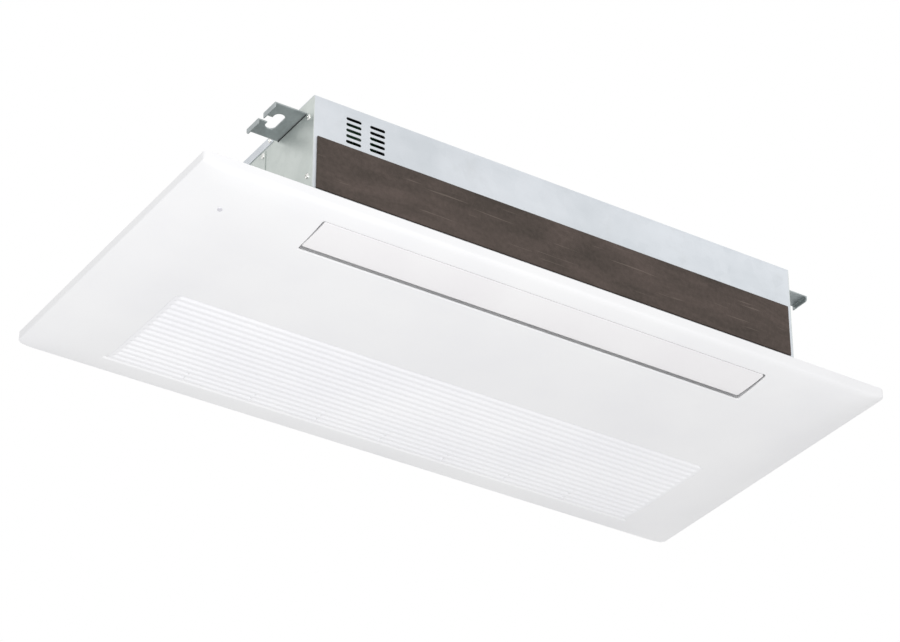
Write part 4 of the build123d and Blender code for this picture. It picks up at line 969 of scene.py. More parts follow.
class CassettePanel(bpy.types.Operator):
    """Make the trim panel as one smooth moulding with its ribs and walls"""

    bl_idname = "cassette.panel"
    bl_label = "Trim panel"

    def execute(self, context):
        panel, grille = context.scene.cassette_panel, context.scene.cassette_grille
        half_x, half_y = PANEL_HIGH[0], PANEL_HIGH[1]
        wall, edge, lip = panel.wall, panel.edge, panel.opening_edge
        lines = groove_lines(grille)
        door = (GRILLE_HIGH[0] + DOOR_END_GAP, lines[0] - DOOR_NEAR_GAP, lines[-1] + DOOR_FAR_GAP)
        opening = (panel.opening_half, panel.opening_near, panel.opening_far)
        rib_count, first_rib = 3, 0.9
        ribs = [INTAKE[0] + wall + panel.rib_pitch * (k + first_rib) for k in range(rib_count)]

        xs = spaced(0, door[0] - 20 * MM, 24) + spaced(door[0] - 20 * MM, door[0], 10)
        xs += spaced(half_x - panel.end_slope, half_x - panel.corner, 30)
        xs += rounding_lines(half_x, -1, edge) + rounding_lines(opening[0], 1, lip)
        xs += spaced(opening[0] - OPENING_CORNER, opening[0], 4) + rounding_lines(door[0], 1, lip)
        xs += spaced(door[0], door[0] + grille.fade + 2 * MM, 8)
        xs += wall_lines(half_x - wall, half_x - wall + STEP)
        xs += spaced(half_x - panel.corner, half_x, 6)
        xs += wall_lines(OUTLET[0], OUTLET[0] + wall) + wall_lines(INTAKE[0], INTAKE[0] + wall)
        for rib in ribs:
            xs += wall_lines(rib - panel.rib_wall / 2, rib + panel.rib_wall / 2)
        xs = clean_lines(xs)
        xs = clean_lines([-x for x in xs] + xs)

        ys = spaced(-half_y + panel.corner, half_y - panel.corner, 64)
        ys += spaced(-half_y, -half_y + panel.corner, 8) + spaced(half_y - panel.corner, half_y, 8)
        for side in (-1, 1):
            ys += rounding_lines(side * half_y, -side, edge)
            ys += [side * (half_y - wall), side * (half_y - wall - STEP)]
        ys += rounding_lines(opening[1], -1, lip) + rounding_lines(opening[2], 1, lip)
        ys += spaced(opening[1], opening[1] + OPENING_CORNER, 4)
        ys += spaced(opening[2] - OPENING_CORNER, opening[2], 4)
        for _, near, far in (OUTLET, INTAKE):
            ys += wall_lines(near - wall, near) + wall_lines(far, far + wall)
        ys += spaced(lines[0] - grille.reach, door[1], 8) + spaced(door[2], lines[-1] + grille.reach, 8)
        ys += rounding_lines(door[1], -1, lip) + rounding_lines(door[2], 1, lip)
        ys = clean_lines(ys)

        def low(x, y):
            drawn = round_edge(min(half_x - abs(x), half_y - abs(y)), edge)
            for (half, near, far), radius in ((opening, lip), (door, lip / 4)):
                away_x, away_y = abs(x) - half, max(near - y, y - far)
                drawn += round_edge(max(away_x, away_y), radius)
            return dome_height(panel, x, y) + groove_depth(grille, x, y) + drawn

        def high(x, y):
            if min(half_x - abs(x), half_y - abs(y)) <= wall + STEP / 4:
                return 0.0
            if ring_of(x, y, *OUTLET, wall) or ring_of(x, y, *INTAKE, wall):
                return WALL_TOP
            if any(abs(abs(x) - rib) <= panel.rib_wall / 2 for rib in ribs):
                return RIB_TOP
            skin = dome_height(panel, x, y)
            return min(max(skin + wall, skin + groove_depth(grille, x, y) + wall / 2), SKIN_TOP)

        def is_open(x, y):
            return any(abs(x) < half and near < y < far for half, near, far in (opening, door))

        def place(x, y):
            new_x, new_y = round_outline(x, y, half_x, -half_y, half_y, panel.corner)
            half, near, far = opening
            for line in (near, far):
                inward = 1 if line == near else -1
                from_x, from_y = half - abs(x), (y - line) * inward
                if abs(from_y) < STEP / 4 and -STEP < from_x <= OPENING_CORNER:
                    turn = math.pi / 4 * (1 - max(from_x, 0.0) / OPENING_CORNER)
                    new_x = math.copysign(half - OPENING_CORNER * (1 - math.sin(turn)), x)
                    new_y = line + inward * OPENING_CORNER * (1 - math.cos(turn))
                elif abs(from_x) < STEP / 4 and 0 < from_y <= OPENING_CORNER:
                    turn = math.pi / 4 * (1 - from_y / OPENING_CORNER)
                    new_y = line + inward * OPENING_CORNER * (1 - math.sin(turn))
                    new_x = math.copysign(half - OPENING_CORNER * (1 - math.cos(turn)), x)
            return new_x, new_y

        bm = bmesh.new()
        slab(bm, xs, ys, low, high, is_open, place)
        self.back_plate(bm, wall)
        self.hinge_ears(bm)
        piece = as_object("trim_panel_moulding", bm)
        shade(piece)
        settle(piece, "panel_white", "panel_white", "casing", "panel_frame")
        return {"FINISHED"}

    def back_plate(self, bm, wall):
        """Plate behind the panel with its outlet and intake openings."""
        half, near, far = INTAKE[0] + wall, OUTLET[1] - wall, INTAKE[2] + wall
        xs = clean_lines([side * x for side in (-1, 1) for x in (half, OUTLET[0], MOUTH[0])])
        ys = clean_lines([near, OUTLET[1], OUTLET[2], MOUTH[1], MOUTH[2], far])

        def is_open(x, y):
            return any(abs(x) < h and a < y < b for h, a, b in (OUTLET, MOUTH))

        slab(bm, xs, ys, lambda x, y: PLATE_LOW, lambda x, y: PLATE_HIGH, is_open)

    def hinge_ears(self, bm):
        """Ears that hold the pins of the grille hinge."""
        y, z, middles = hinge_line()
        for middle in middles:
            for side in (-1, 1):
                inner = middle + side * (HINGE_PIN_HALF - EAR_WIDTH)
                outer = middle + side * HINGE_PIN_HALF
                add_rod(bm, (inner, y, z), (outer, y, z), HINGE_RADIUS, 32, HINGE_EASE)
                add_box(
                    bm,
                    (min(inner, outer), y, z - HINGE_BELOW),
                    (max(inner, outer), y + EAR_REACH, z + HINGE_ABOVE),
                )


class CassetteGrille(bpy.types.Operator):
    """Make the ribbed intake grille with its slots, cross ribs and knuckles"""

    bl_idname = "cassette.grille"
    bl_label = "Intake grille"

    def execute(self, context):
        panel, grille = context.scene.cassette_panel, context.scene.cassette_grille
        lines = groove_lines(grille)
        half = GRILLE_HIGH[0]
        near, far = lines[0] + DOOR_NEAR_GAP, lines[-1] - DOOR_FAR_GAP
        slot_end_margin = 11.5 * MM
        slot_half = half - slot_end_margin
        lip = 0.18 * MM

        xs = spaced(0, slot_half, 30) + [slot_half + STEP] + spaced(slot_half, half, 12)
        xs += rounding_lines(half, -1, lip)
        xs = clean_lines([-x for x in xs] + xs)
        ys = [near, far] + rounding_lines(near, 1, lip) + rounding_lines(far, -1, lip)
        for line in lines:
            ys += spaced(line - grille.reach, line + grille.slot_near, 5)
            ys += spaced(line + grille.slot_far, line + grille.reach, 8)
            ys += [line + grille.pitch / 2]
        ys = clean_lines([y for y in ys if near <= y <= far])

        def low(x, y):
            drawn = round_edge(min(half - abs(x), y - near, far - y), lip)
            return dome_height(panel, x, y) + groove_depth(grille, x, y) + drawn

        def high(x, y):
            return -across_depth(panel, y) + grille.thickness

        def is_open(x, y):
            if abs(x) > slot_half:
                return False
            return any(grille.slot_near < y - line < grille.slot_far for line in lines[1:-1])

        bm = bmesh.new()
        slab(bm, xs, ys, low, high, is_open)
        self.knuckles(bm)
        self.posts(bm, panel, grille)
        front = as_object("grille_front", bm)

        whole = bmesh.new()
        whole.from_mesh(front.data)
        whole.from_mesh(self.cross_ribs(grille, near, far))
        bpy.data.objects.remove(front)
        piece = as_object("intake_grille_moulding", whole)
        shade(piece)
        settle(piece, "grille_white", "panel_white", "grille", "intake_grille")
        return {"FINISHED"}

    def cross_ribs(self, grille, near, far):
        """Row of upright ribs that tie the grille's bars together."""
        half_width, foot, height = 1 * MM, 5.5 * MM, 4 * MM
        near_margin, far_margin = 2 * MM, 4 * MM
        pitch, count, first = 115 * MM, 7, -345 * MM
        bottom, top = GRILLE_LOW[2] + foot, GRILLE_LOW[2] + grille.thickness + height
        rib = bmesh.new()
        add_box(rib, (-half_width, near + near_margin, bottom), (half_width, far - far_margin, top))
        bmesh.ops.bevel(
            rib, geom=rib.edges[:], offset=0.3 * MM, segments=2, profile=0.5, affect="EDGES"
        )
        return repeated(
            "grille_ribs",
            row_tree(),
            "grille_white",
            rib,
            Count=count,
            Start=(first, 0.0, 0.0),
            Step=(pitch, 0.0, 0.0),
        )

    def knuckles(self, bm):
        """Hinge knuckles between the panel's ears."""
        y, z, middles = hinge_line()
        for middle in middles:
            start, end = middle - KNUCKLE_HALF, middle + KNUCKLE_HALF
            add_rod(bm, (start, y, z), (end, y, z), HINGE_RADIUS, 32, HINGE_EASE)
            add_box(bm, (start, y - KNUCKLE_REACH, z - HINGE_BELOW), (end, y, z + HINGE_ABOVE))

    def posts(self, bm, panel, grille):
        """Posts that the filter rests on."""
        low, high = corners("air_filter_frame")
        row_inset, end_inset, inner_post = 4 * MM, 5 * MM, 172.5 * MM
        radius, sunk, gap, ease = 3 * MM, 1 * MM, 0.3 * MM, 0.4 * MM
        for x in (low[0] + end_inset, -inner_post, inner_post, high[0] - end_inset):
            for y in (low[1] + row_inset, high[1] - row_inset):
                foot = -across_depth(panel, y) + grille.thickness - sunk
                add_rod(bm, (x, y, foot), (x, y, low[2] - gap), radius, 24, ease)


class CassetteLouver(bpy.types.Operator):
    """Make the crowned louver blade with its arms and pins"""

    bl_idname = "cassette.louver"
    bl_label = "Louver blade"

    crown: length("Crown", "How far the blade bulges", 1.2 * MM)
    thickness: length("Thickness", "Thickness of the blade", 4.5 * MM)
    edge: length("Edge", "Rounding of the blade's edges", 0.9 * MM)
    corner: length("Corner", "Radius of the blade's corners", 3.5 * MM)

    def execute(self, context):
        panel = context.scene.cassette_panel
        near_gap, far_gap, end_gap, recess = 1.8 * MM, 4 * MM, 3.5 * MM, 4.6 * MM
        arm, boss_radius, pin_radius, pin_root, ease = 3 * MM, 6 * MM, 3 * MM, 1 * MM, 0.4 * MM
        near, far = panel.opening_near + near_gap, panel.opening_far - far_gap
        half = panel.opening_half - end_gap
        near_z = -across_depth(panel, panel.opening_near)
        far_z = recess - across_depth(panel, panel.opening_far)
        axis_y, axis_z = -192 * MM, -16 * MM

        xs = spaced(0, half - self.corner, 24) + spaced(half - self.corner, half, 5)
        xs += rounding_lines(half, -1, self.edge)
        xs = clean_lines([-x for x in xs] + xs)
        ys = spaced(near, far, 24)
        ys += spaced(near, near + self.corner, 5) + spaced(far - self.corner, far, 5)
        ys += rounding_lines(near, 1, self.edge) + rounding_lines(far, -1, self.edge)
        ys = clean_lines(ys)

        def face(y):
            share = (y - near) / (far - near)
            return near_z + (far_z - near_z) * share - self.crown * 4 * share * (1 - share)

        def drawn(x, y):
            return round_edge(min(half - abs(x), y - near, far - y), self.edge)

        def place(x, y):
            return round_outline(x, y, half, near, far, self.corner)

        bm = bmesh.new()
        slab(
            bm,
            xs,
            ys,
            lambda x, y: face(y) + drawn(x, y),
            lambda x, y: face(y) + self.thickness - drawn(x, y),
            place=place,
        )
        for side in (-1, 1):
            inner, outer = side * (half - arm), side * half
            add_rod(bm, (inner, axis_y, axis_z), (outer, axis_y, axis_z), boss_radius, 48, ease)
            add_box(
                bm,
                (min(inner, outer), axis_y - boss_radius, far_z + self.thickness / 2),
                (max(inner, outer), axis_y + arm, axis_z),
            )
            pin_start = (side * (half - pin_root), axis_y, axis_z)
            pin_end = (BLADE_LOW[0] if side < 0 else BLADE_HIGH[0], axis_y, axis_z)
            add_rod(bm, pin_start, pin_end, pin_radius, 32, ease)
        piece = as_object("louver_blade_moulding", bm)
        shade(piece)
        settle(piece, "louver_white", "panel_white", "louver", "louver_blade")
        return {"FINISHED"}


class CassetteCasing(bpy.types.Operator):
    """Finish the sheet metal, lugs, foam and covers of the casing"""

    bl_idname = "cassette.casing"
    bl_label = "Casing"

    def execute(self, context):
        refine("casing_front", "casing_steel", "casing_steel", 0.25 * MM)
        for node in ("casing_rear", "casing_top", "base_plate"):
            refine(node, "casing_steel", "casing_steel", 0.4 * MM)
        # End plates and wiring cover take the darker copy of the casing steel, as painted shade on the end
        # faces.
        for node in ("end_plate_left", "end_plate_right", "wiring_cover"):
            refine(node, "end_steel_painted_shade", "casing_steel", 0.2 * MM)
        for node in ("partition_left", "partition_right"):
            refine(node, "casing_steel", "casing_steel", 0.2 * MM, 1)
        # The tray takes near-black steel, as painted shade seen through its vent slots.
        refine("electronics_tray", "tray_steel_painted_shade", "casing_steel", 0.2 * MM, 1)
        for row in ("front", "rear"):
            for side in ("left", "right"):
                refine(f"hanger_{row}_{side}", "lug_steel", "lug_steel", 0.7 * MM, 3)
        self.foam_sheet()
        self.lug_seals()
        refine("panel_gasket", "black_foam", "black_foam", 0.5 * MM)
        refine("cable_grommets", "black_rubber", "black_rubber", 0.4 * MM)
        return {"FINISHED"}

    def lug_seals(self):
        """Painted shadow: a black strip on the face of the end plate, close below each lug, in place of the
        shadow at the lug's root.
        """
        plate, depth, inset, gap = 2.2 * MM, 1.7 * MM, 1 * MM, 0.05 * MM
        bm = bmesh.new()
        for row in ("front", "rear"):
            for side in ("left", "right"):
                low, high = corners(f"hanger_{row}_{side}")
                root = high[2] - plate
                end = self.end_plate_face(side)
                add_box(
                    bm,
                    (min(end), low[1] + inset, root - depth),
                    (max(end), high[1] - inset, root - gap),
                )
        piece = as_object("lug_seals", bm)
        shade(piece)
        # Black rubber finish, used here as painted shadow at the root of each lug.
        settle(piece, "black_rubber", "black_rubber", "casing")

    def end_plate_face(self, side):
        """Span along X from just inside the face of an end plate to just outside it."""
        low, high = corners("end_plate_" + side)
        face, reach = low[0] if side == "left" else high[0], 0.4 * MM
        return face - reach, face + reach

    def foam_sheet(self):
        """Foam sheet with a slightly uneven face and pressed-down edges."""
        low, high = corners("front_foam_sheet")
        chance = random.Random(11)
        ranges = ((8, 60), (20, 90), (0, 2 * math.pi), (0.02, 0.09))
        waves = [[chance.uniform(*span) for span in ranges] for _ in range(7)]
        edge = 1.2 * MM

        def grid(axis, count):
            lines = spaced(low[axis], high[axis], count)
            lines += rounding_lines(low[axis], 1, edge) + rounding_lines(high[axis], -1, edge)
            return clean_lines(lines)

        def face(x, z):
            dent = sum(size * (1 + math.sin(x * a + z * b + start)) for a, b, start, size in waves) * MM
            rounded = round_edge(min(x - low[0], high[0] - x, z - low[2], high[2] - z), edge)
            return low[1] + dent * 0.5 + rounded

        bm = bmesh.new()
        slab(bm, grid(0, 160), grid(2, 24), face, lambda x, z: high[1])
        bmesh.ops.transform(
            bm,
            matrix=Matrix(((1, 0, 0, 0), (0, 0, 1, 0), (0, 1, 0, 0), (0, 0, 0, 1))),
            verts=bm.verts,
        )
        bmesh.ops.recalc_face_normals(bm, faces=bm.faces)
        piece = as_object("foam_sheet_surface", bm)
        shade(piece)
        settle(piece, "brown_foam", "brown_foam", "casing", "front_foam_sheet")


class CassetteScrews(bpy.types.Operator):
    """Seat cross-recessed pan heads on every screw place"""

    bl_idname = "cassette.screws"
    bl_label = "Screws"

    def execute(self, context):
        works = context.scene.cassette_works
        head = self.head(works.head_radius)
        tree = screw_tree()
        jobs = (
            ("casing_screws", "casing_screw_set", "X"),
            ("panel_screws", "panel_screw_set", "Z"),
        )
        for node, name, axis in jobs:
            mesh = grown(name, tree, "bright_steel", self.seats(node, axis), Head=head, Seed=works.seed)
            piece = as_object(name, mesh)
            shade(piece)
            settle(piece, "bright_steel", "bright_steel", "casing", node)
        bpy.data.objects.remove(head)
        return {"FINISHED"}

    def seats(self, node, axis):
        """Mesh of the points under each head, with the way that it faces."""
        head_height = 2.6 * MM
        bm = merged(node)
        islands = []
        left = set(bm.verts)
        while left:
            stack = [left.pop()]
            island = list(stack)
            while stack:
                for bm_edge in stack.pop().link_edges:
                    for vert in bm_edge.verts:
                        if vert in left:
                            left.remove(vert)
                            island.append(vert)
                            stack.append(vert)
            points = [vert.co for vert in island]
            low = Vector(min(p[k] for p in points) for k in range(3))
            high = Vector(max(p[k] for p in points) for k in range(3))
            islands.append((low, high))
        bm.free()
        # Sorted by place, so that a head gets the same turn on every run
        islands.sort(key=lambda box: tuple(box[0]))
        mesh = bpy.data.meshes.new(node + "_seats")
        places, ways = [], []
        for low, high in islands:
            middle = (low + high) / 2
            if axis == "X":
                side = math.copysign(1, middle.x)
                tip = high.x if side > 0 else low.x
                places.append((tip - side * head_height, middle.y, middle.z))
                ways.append((side, 0.0, 0.0))
            else:
                places.append((middle.x, middle.y, low.z + head_height))
                ways.append((0.0, 0.0, -1.0))
        mesh.from_pydata(places, [], [])
        facing = mesh.attributes.new("facing", "FLOAT_VECTOR", "POINT")
        facing.data.foreach_set("vector", [value for way in ways for value in way])
        return mesh

    def head(self, radius):
        """Pan head with a cross recess, its flange and a short shank."""
        bm = bmesh.new()
        profile = [(-7.5 * MM, 0.4 * MM), (-6.0 * MM, 1.7 * MM)]
        thread_pitch, thread_root, thread_crest = 0.7 * MM, 1.55 * MM, 1.95 * MM
        for turn in range(8):
            profile.append((-5.6 * MM + thread_pitch * turn, thread_root))
            profile.append((-5.3 * MM + thread_pitch * turn, thread_crest))
        profile += [(0.0, radius), (0.5 * MM, radius), (0.9 * MM, radius * 0.98)]
        top, crown = 2.55 * MM, 1.6 * MM
        for share in (0.95, 0.85, 0.7, 0.5, 0.3):
            profile.append((top - crown * (share**2.2), radius * share))
        profile.append((top, 0.0))
        add_turned(bm, profile, (0, 0, 0), (0, 0, 1), 40)
        blank = as_object("screw_blank", bm)
        reach, width, floor, ceiling = 2.6 * MM, 1.1 * MM, 1.3 * MM, 4 * MM
        for turn in (0.0, math.pi / 2):
            cutter_bm = bmesh.new()
            add_box(cutter_bm, (-reach, -width / 2, floor), (reach, width / 2, ceiling))
            bmesh.ops.rotate(cutter_bm, verts=cutter_bm.verts, matrix=Matrix.Rotation(turn, 3, "Z"))
            cutter = as_object("screw_recess", cutter_bm)
            cut = blank.modifiers.new("recess", "BOOLEAN")
            cut.operation = "DIFFERENCE"
            cut.solver = "EXACT"
            cut.object = cutter
            graph = bpy.context.evaluated_depsgraph_get()
            cut_mesh = bpy.data.meshes.new_from_object(blank.evaluated_get(graph), depsgraph=graph)
            blank.modifiers.clear()
            blank.data = cut_mesh
            bpy.data.objects.remove(cutter)
        return blank


class CassetteAirPath(bpy.types.Operator):
    """Make the filter, outlet, vanes, fan and foam blocks"""

    bl_idname = "cassette.air_path"
    bl_label = "Air path"

    def execute(self, context):
        works = context.scene.cassette_works
        self.net(works)
        self.fan(works)
        refine("air_filter_frame", "grey_plastic", "grey_plastic", 0.35 * MM)
        refine("outlet_frame", "grey_plastic", "grey_plastic", 0.5 * MM)
        refine("vane_link", "grey_plastic", "grey_plastic", 0.4 * MM)
        for number in range(1, 9):
            refine(f"guide_vane_{number}", "grey_plastic", "grey_plastic", 0.3 * MM)
        for node in ("scroll_block", "drain_pan"):
            refine(node, "white_foam", "white_foam", 0.8 * MM)
        return {"FINISHED"}

    def net(self, works):
        """Filter net woven from two rows of threads."""
        low, high = FILTER_LOW, FILTER_HIGH
        half, middle = works.thread / 2, (low[2] + high[2]) / 2
        whole = bmesh.new()
        rows = (
            ((low[0], -half, middle - half), (high[0], half, middle), (0.0, 1.0), 1),
            ((-half, low[1], middle), (half, high[1], middle + half), (1.0, 0.0), 0),
        )
        tree = row_tree()
        for first, last, (along_x, along_y), axis in rows:
            strand = bmesh.new()
            add_box(strand, first, last)
            room = high[axis] - low[axis] - 2 * half
            count = int(room / works.thread_pitch)
            start = [0.0, 0.0, 0.0]
            start[axis] = low[axis] + half + (room - works.thread_pitch * count) / 2
            threads = repeated(
                "filter_threads",
                tree,
                "filter_net",
                strand,
                Count=count + 1,
                Start=tuple(start),
                Step=(along_x * works.thread_pitch, along_y * works.thread_pitch, 0.0),
            )
            whole.from_mesh(threads)
        piece = as_object("filter_net_weave", whole)
        shade(piece, weighted=False)
        settle(piece, "filter_net", "filter_net", BODY_OF["air_filter_mesh"], "air_filter_mesh")

    def fan(self, works):
        """Cross-flow fan with curved blades between its discs."""
        low, high = ROTOR_LOW, ROTOR_HIGH
        axis_y, axis_z = (low[1] + high[1]) / 2, (low[2] + high[2]) / 2
        rim, disc, bays, bore = 0.4 * MM, 2 * MM, 5, 4.1 * MM
        hub_end, hub_radius = 14 * MM, 10 * MM
        outer, inner = (high[1] - low[1]) / 2 - rim, 34 * MM
        bay = (high[0] - low[0] - disc) / bays
        sweep, bow, half_blade = math.radians(26), math.radians(16), 0.55 * MM
        outline = []
        steps = 6
        for side in (1, -1):
            for number in range(steps + 1):
                share = number / steps if side > 0 else 1 - number / steps
                radius = inner + (outer - inner) * share
                lean = sweep * share - bow * share * (1 - share)
                half = half_blade * (1 - 0.7 * abs(2 * share - 1) ** 3)
                turn = lean + side * half / radius
                outline.append(Vector((0.0, radius * math.cos(turn), radius * math.sin(turn))))
        blades = repeated(
            "fan_blades",
            ring_tree(),
            "motor_grey",
            prism(outline, bay + disc / 2),
            Blades=works.blades,
            Bays=bays,
            Start=(low[0] + disc / 2, axis_y, axis_z),
            Step=(bay, 0.0, 0.0),
            Stagger=math.radians(1.9),
        )
        whole = bmesh.new()
        whole.from_mesh(blades)
        for number in range(bays + 1):
            start = low[0] + bay * number
            hole = bore if number in (0, bays) else inner - 1 * MM
            self.disc(whole, start, disc, (axis_y, axis_z), outer + rim, hole)
        for start, end in ((low[0] + disc, low[0] + hub_end), (high[0] - hub_end, high[0] - disc)):
            self.disc(whole, start, end - start, (axis_y, axis_z), hub_radius, bore)
        piece = as_object("fan_rotor_moulding", whole)
        shade(piece)
        settle(piece, "motor_grey", "motor_grey", "fan", "fan_rotor")

    def disc(self, bm, start, thickness, centre, radius, bore):
        """Flat ring with eased edges, closed all round."""
        ease = 0.25 * MM
        section = (
            (start, bore),
            (start, radius - ease),
            (start + ease, radius),
            (start + thickness - ease, radius),
            (start + thickness, radius - ease),
            (start + thickness, bore),
        )
        sides = 72
        rings = []
        for x, reach in section:
            ring = []
            for turn in (2 * math.pi * k / sides for k in range(sides)):
                y, z = centre[0] + reach * math.cos(turn), centre[1] + reach * math.sin(turn)
                ring.append(bm.verts.new((x, y, z)))
            rings.append(ring)
        made = []
        for number, ring in enumerate(rings):
            following = rings[(number + 1) % len(rings)]
            for k in range(sides):
                n = (k + 1) % sides
                made.append(bm.faces.new((ring[k], ring[n], following[n], following[k])))
        bmesh.ops.recalc_face_normals(bm, faces=made)


class CassetteCoil(bpy.types.Operator):
    """Make the coil with its fins, tubes, pipes and unions"""

    bl_idname = "cassette.coil"
    bl_label = "Coil and pipes"

    def execute(self, context):
        self.fins(context.scene.cassette_works)
        refine("coil_tubes", "copper", "copper")
        refine("liquid_pipe", "copper", "copper")
        refine("gas_pipe", "copper", "copper")
        refine("flare_unions", "brass", "brass", 0.4 * MM)
        refine("coil_end_plates", "casing_steel", "casing_steel", 0.2 * MM, 1)
        return {"FINISHED"}

    def fins(self, works):
        """Row of thin fins as wide as the coil block."""
        low, high = FINS_LOW, FINS_HIGH
        tilt = math.radians(28.7)
        foot = Vector((0.0, -48 * MM, 22 * MM))
        slope = Vector((0.0, math.sin(tilt), math.cos(tilt)))
        out = Vector((0.0, -math.cos(tilt), math.sin(tilt)))
        height, half = 146 * MM, 14 * MM
        steps = 12
        ripple = 0.9 * MM
        outline = [foot - out * half, foot + out * half]
        outline += [
            foot + slope * height * (k + 0.5) / steps + out * (half - ripple * (k % 2)) for k in range(steps)
        ]
        outline += [foot + slope * height + out * half, foot + slope * height - out * half]
        outline += [
            foot + slope * height * (k + 0.5) / steps - out * (half - ripple * (k % 2))
            for k in reversed(range(steps))
        ]
        count = int((high[0] - low[0] - works.fin_thickness) / works.fin_pitch)
        mesh = repeated(
            "coil_fin_row",
            row_tree(),
            "fin_aluminium",
            prism(outline, works.fin_thickness),
            Count=count + 1,
            Start=(low[0], 0.0, 0.0),
            Step=(works.fin_pitch, 0.0, 0.0),
        )
        piece = as_object("coil_fin_row", mesh)
        shade(piece, weighted=False)
        settle(piece, "fin_aluminium", "fin_aluminium", "casing", "coil_fins")


class CassetteWorks(bpy.types.Operator):
    """Finish the motors, pump, float, board and small pieces"""

    bl_idname = "cassette.works"
    bl_label = "Works"

    def execute(self, context):
        jobs = (
            ("motor_grey", "motor_grey", 0.5, ("fan_motor", "motor_bracket")),
            ("bright_steel", "bright_steel", 0.2, ("fan_shaft", "grille_hinge_pins")),
            ("black_rubber", "black_rubber", 0.4, ("bearing_bush",)),
            ("grey_plastic", "grey_plastic", 0.4, ("louver_motor", "terminal_block", "drain_outlet")),
            ("grey_plastic", "grey_plastic", 0.4, ("drain_pump", "pump_impeller")),
            ("grey_plastic", "grey_plastic", 0.4, ("float_stem", "float_ring")),
            ("dark_magnet", "dark_magnet", 0.4, ("catch_magnets",)),
            ("bright_steel", "bright_steel", 0.3, ("catch_keepers",)),
            ("lens_smoke", "lens_smoke", 0.2, ("receiver_lens",)),
            ("board_green", "board_green", 0.2, ("receiver_board", "circuit_board")),
        )
        for finish, slot, bevel, nodes in jobs:
            for node in nodes:
                refine(node, finish, slot, bevel * MM)
        return {"FINISHED"}


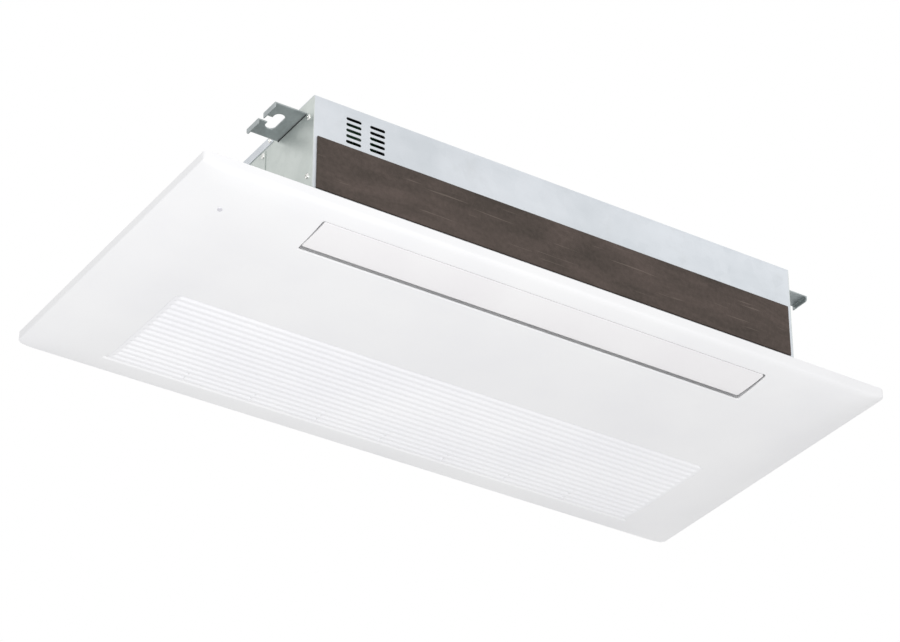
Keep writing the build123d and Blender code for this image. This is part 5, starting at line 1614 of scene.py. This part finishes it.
class CassetteStage(bpy.types.Operator):
    """Set up the floor, the surround, the lamps and the camera"""

    bl_idname = "cassette.stage"
    bl_label = "Stage"

    def execute(self, context):
        stage = context.scene.cassette_stage
        scene = context.scene
        scene.view_settings.view_transform = "Standard"
        self.surround(scene, stage.surround)
        self.floor(stage.floor_height)
        self.camera(scene, stage)
        lamps = (
            ("key_lamp", (-1.5, -2.2, -1.8), 1.6, stage.key),
            ("fill_lamp", (2.2, -1.2, 1.8), 2.2, stage.fill),
        )
        for name, place, size, power in lamps:
            data = bpy.data.lights.new(name, "AREA")
            data.shape = "DISK"
            data.size = size
            data.energy = power
            lamp = bpy.data.objects.new(name, data)
            scene.collection.objects.link(lamp)
            lamp.location = place
            lamp.rotation_mode = "QUATERNION"
            lamp.rotation_quaternion = (-Vector(place)).to_track_quat("-Z", "Y")
        return {"FINISHED"}

    def seen(self, tree):
        """1 for rays that show the backdrop to the eye, in gloss or through glass."""
        path = tree.nodes.new("ShaderNodeLightPath")
        gloss = tree.nodes.new("ShaderNodeMath")
        gloss.operation = "MAXIMUM"
        tree.links.new(path.outputs["Is Camera Ray"], gloss.inputs[0])
        tree.links.new(path.outputs["Is Glossy Ray"], gloss.inputs[1])
        both = tree.nodes.new("ShaderNodeMath")
        both.operation = "MAXIMUM"
        tree.links.new(gloss.outputs[0], both.inputs[0])
        tree.links.new(path.outputs["Is Transmission Ray"], both.inputs[1])
        return both.outputs[0]

    def surround(self, scene, strength):
        """White world, with its own strength where it lights the object."""
        world = bpy.data.worlds.new("surround")
        world.use_nodes = True
        scene.world = world
        tree = world.node_tree
        background = tree.nodes["Background"]
        background.inputs["Color"].default_value = (1.0, 1.0, 1.0, 1.0)
        level = tree.nodes.new("ShaderNodeMapRange")
        level.inputs["To Min"].default_value = strength
        level.inputs["To Max"].default_value = 1.0
        tree.links.new(self.seen(tree), level.inputs["Value"])
        tree.links.new(level.outputs["Result"], background.inputs["Strength"])

    def floor(self, height):
        """Pale floor far below the unit."""
        half = 9.0
        bm = bmesh.new()
        lines = spaced(-half, half, 4)
        slab(bm, lines, lines, lambda x, y: height - 0.02, lambda x, y: height)
        floor = as_object("floor", bm)
        material = bpy.data.materials.new("pale_floor")
        material.use_nodes = True
        tree = material.node_tree
        shader = tree.nodes["Principled BSDF"]
        shader.inputs["Base Color"].default_value = (0.86, 0.86, 0.86, 1.0)
        shader.inputs["Roughness"].default_value = 0.9
        glow = tree.nodes.new("ShaderNodeEmission")
        blend = tree.nodes.new("ShaderNodeMixShader")
        share = tree.nodes.new("ShaderNodeMath")
        share.operation = "MULTIPLY"
        share.inputs[1].default_value = 0.85
        tree.links.new(self.seen(tree), share.inputs[0])
        tree.links.new(share.outputs[0], blend.inputs[0])
        tree.links.new(shader.outputs[0], blend.inputs[1])
        tree.links.new(glow.outputs[0], blend.inputs[2])
        tree.links.new(blend.outputs[0], tree.nodes["Material Output"].inputs["Surface"])
        floor.data.materials.append(material)

    def camera(self, scene, stage):
        """Camera below the unit, looking up at the panel."""
        a, e, roll = stage.azimuth, stage.elevation, stage.roll
        forward = Vector((math.sin(a) * math.cos(e), math.cos(a) * math.cos(e), math.sin(e)))
        right = forward.cross(Vector((0, 0, 1))).normalized()
        up = right.cross(forward)
        turned_right = math.cos(roll) * right + math.sin(roll) * up
        turned_up = math.cos(roll) * up - math.sin(roll) * right
        data = bpy.data.cameras.new("camera")
        data.sensor_width = 36.0
        data.lens = stage.lens
        data.clip_start = 0.05
        data.clip_end = 60.0
        camera = bpy.data.objects.new("camera", data)
        scene.collection.objects.link(camera)
        turn = Matrix((turned_right, turned_up, -forward)).transposed()
        camera.matrix_world = Matrix.Translation(stage.camera) @ turn.to_4x4()
        scene.camera = camera


OPERATORS = (
    CassettePanel,
    CassetteGrille,
    CassetteLouver,
    CassetteCasing,
    CassetteScrews,
    CassetteAirPath,
    CassetteCoil,
    CassetteWorks,
    CassetteStage,
)

SETTINGS = {
    "cassette_panel": CassettePanelSettings,
    "cassette_grille": CassetteGrilleSettings,
    "cassette_works": CassetteWorksSettings,
    "cassette_stage": CassetteStageSettings,
}


class CASSETTE_PT_sidebar(bpy.types.Panel):
    """Sizes and makers of the ceiling cassette unit"""

    bl_idname = "CASSETTE_PT_sidebar"
    bl_label = "Ceiling cassette"
    bl_space_type = "VIEW_3D"
    bl_region_type = "UI"
    bl_category = "Cassette"

    def draw(self, context):
        for name, group in SETTINGS.items():
            box = self.layout.box()
            for key in group.__annotations__:
                box.prop(getattr(context.scene, name), key)
        for operator in OPERATORS:
            self.layout.operator(operator.bl_idname)


def register():
    """Register the classes and hang the settings on the scene."""
    for name, group in SETTINGS.items():
        bpy.utils.register_class(group)
        setattr(bpy.types.Scene, name, bpy.props.PointerProperty(type=group))
    for operator in OPERATORS:
        bpy.utils.register_class(operator)
    bpy.utils.register_class(CASSETTE_PT_sidebar)


def unregister():
    """Take the settings and classes away again."""
    bpy.utils.unregister_class(CASSETTE_PT_sidebar)
    for operator in reversed(OPERATORS):
        bpy.utils.unregister_class(operator)
    for name, group in SETTINGS.items():
        delattr(bpy.types.Scene, name)
        bpy.utils.unregister_class(group)


def main():
    """Make every piece."""
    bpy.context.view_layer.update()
    register()
    for operator in OPERATORS:
        group, name = operator.bl_idname.split(".")
        if getattr(getattr(bpy.ops, group), name)() != {"FINISHED"}:
            raise RuntimeError(operator.bl_label + " was not made")


if __name__ == "__main__":
    main()
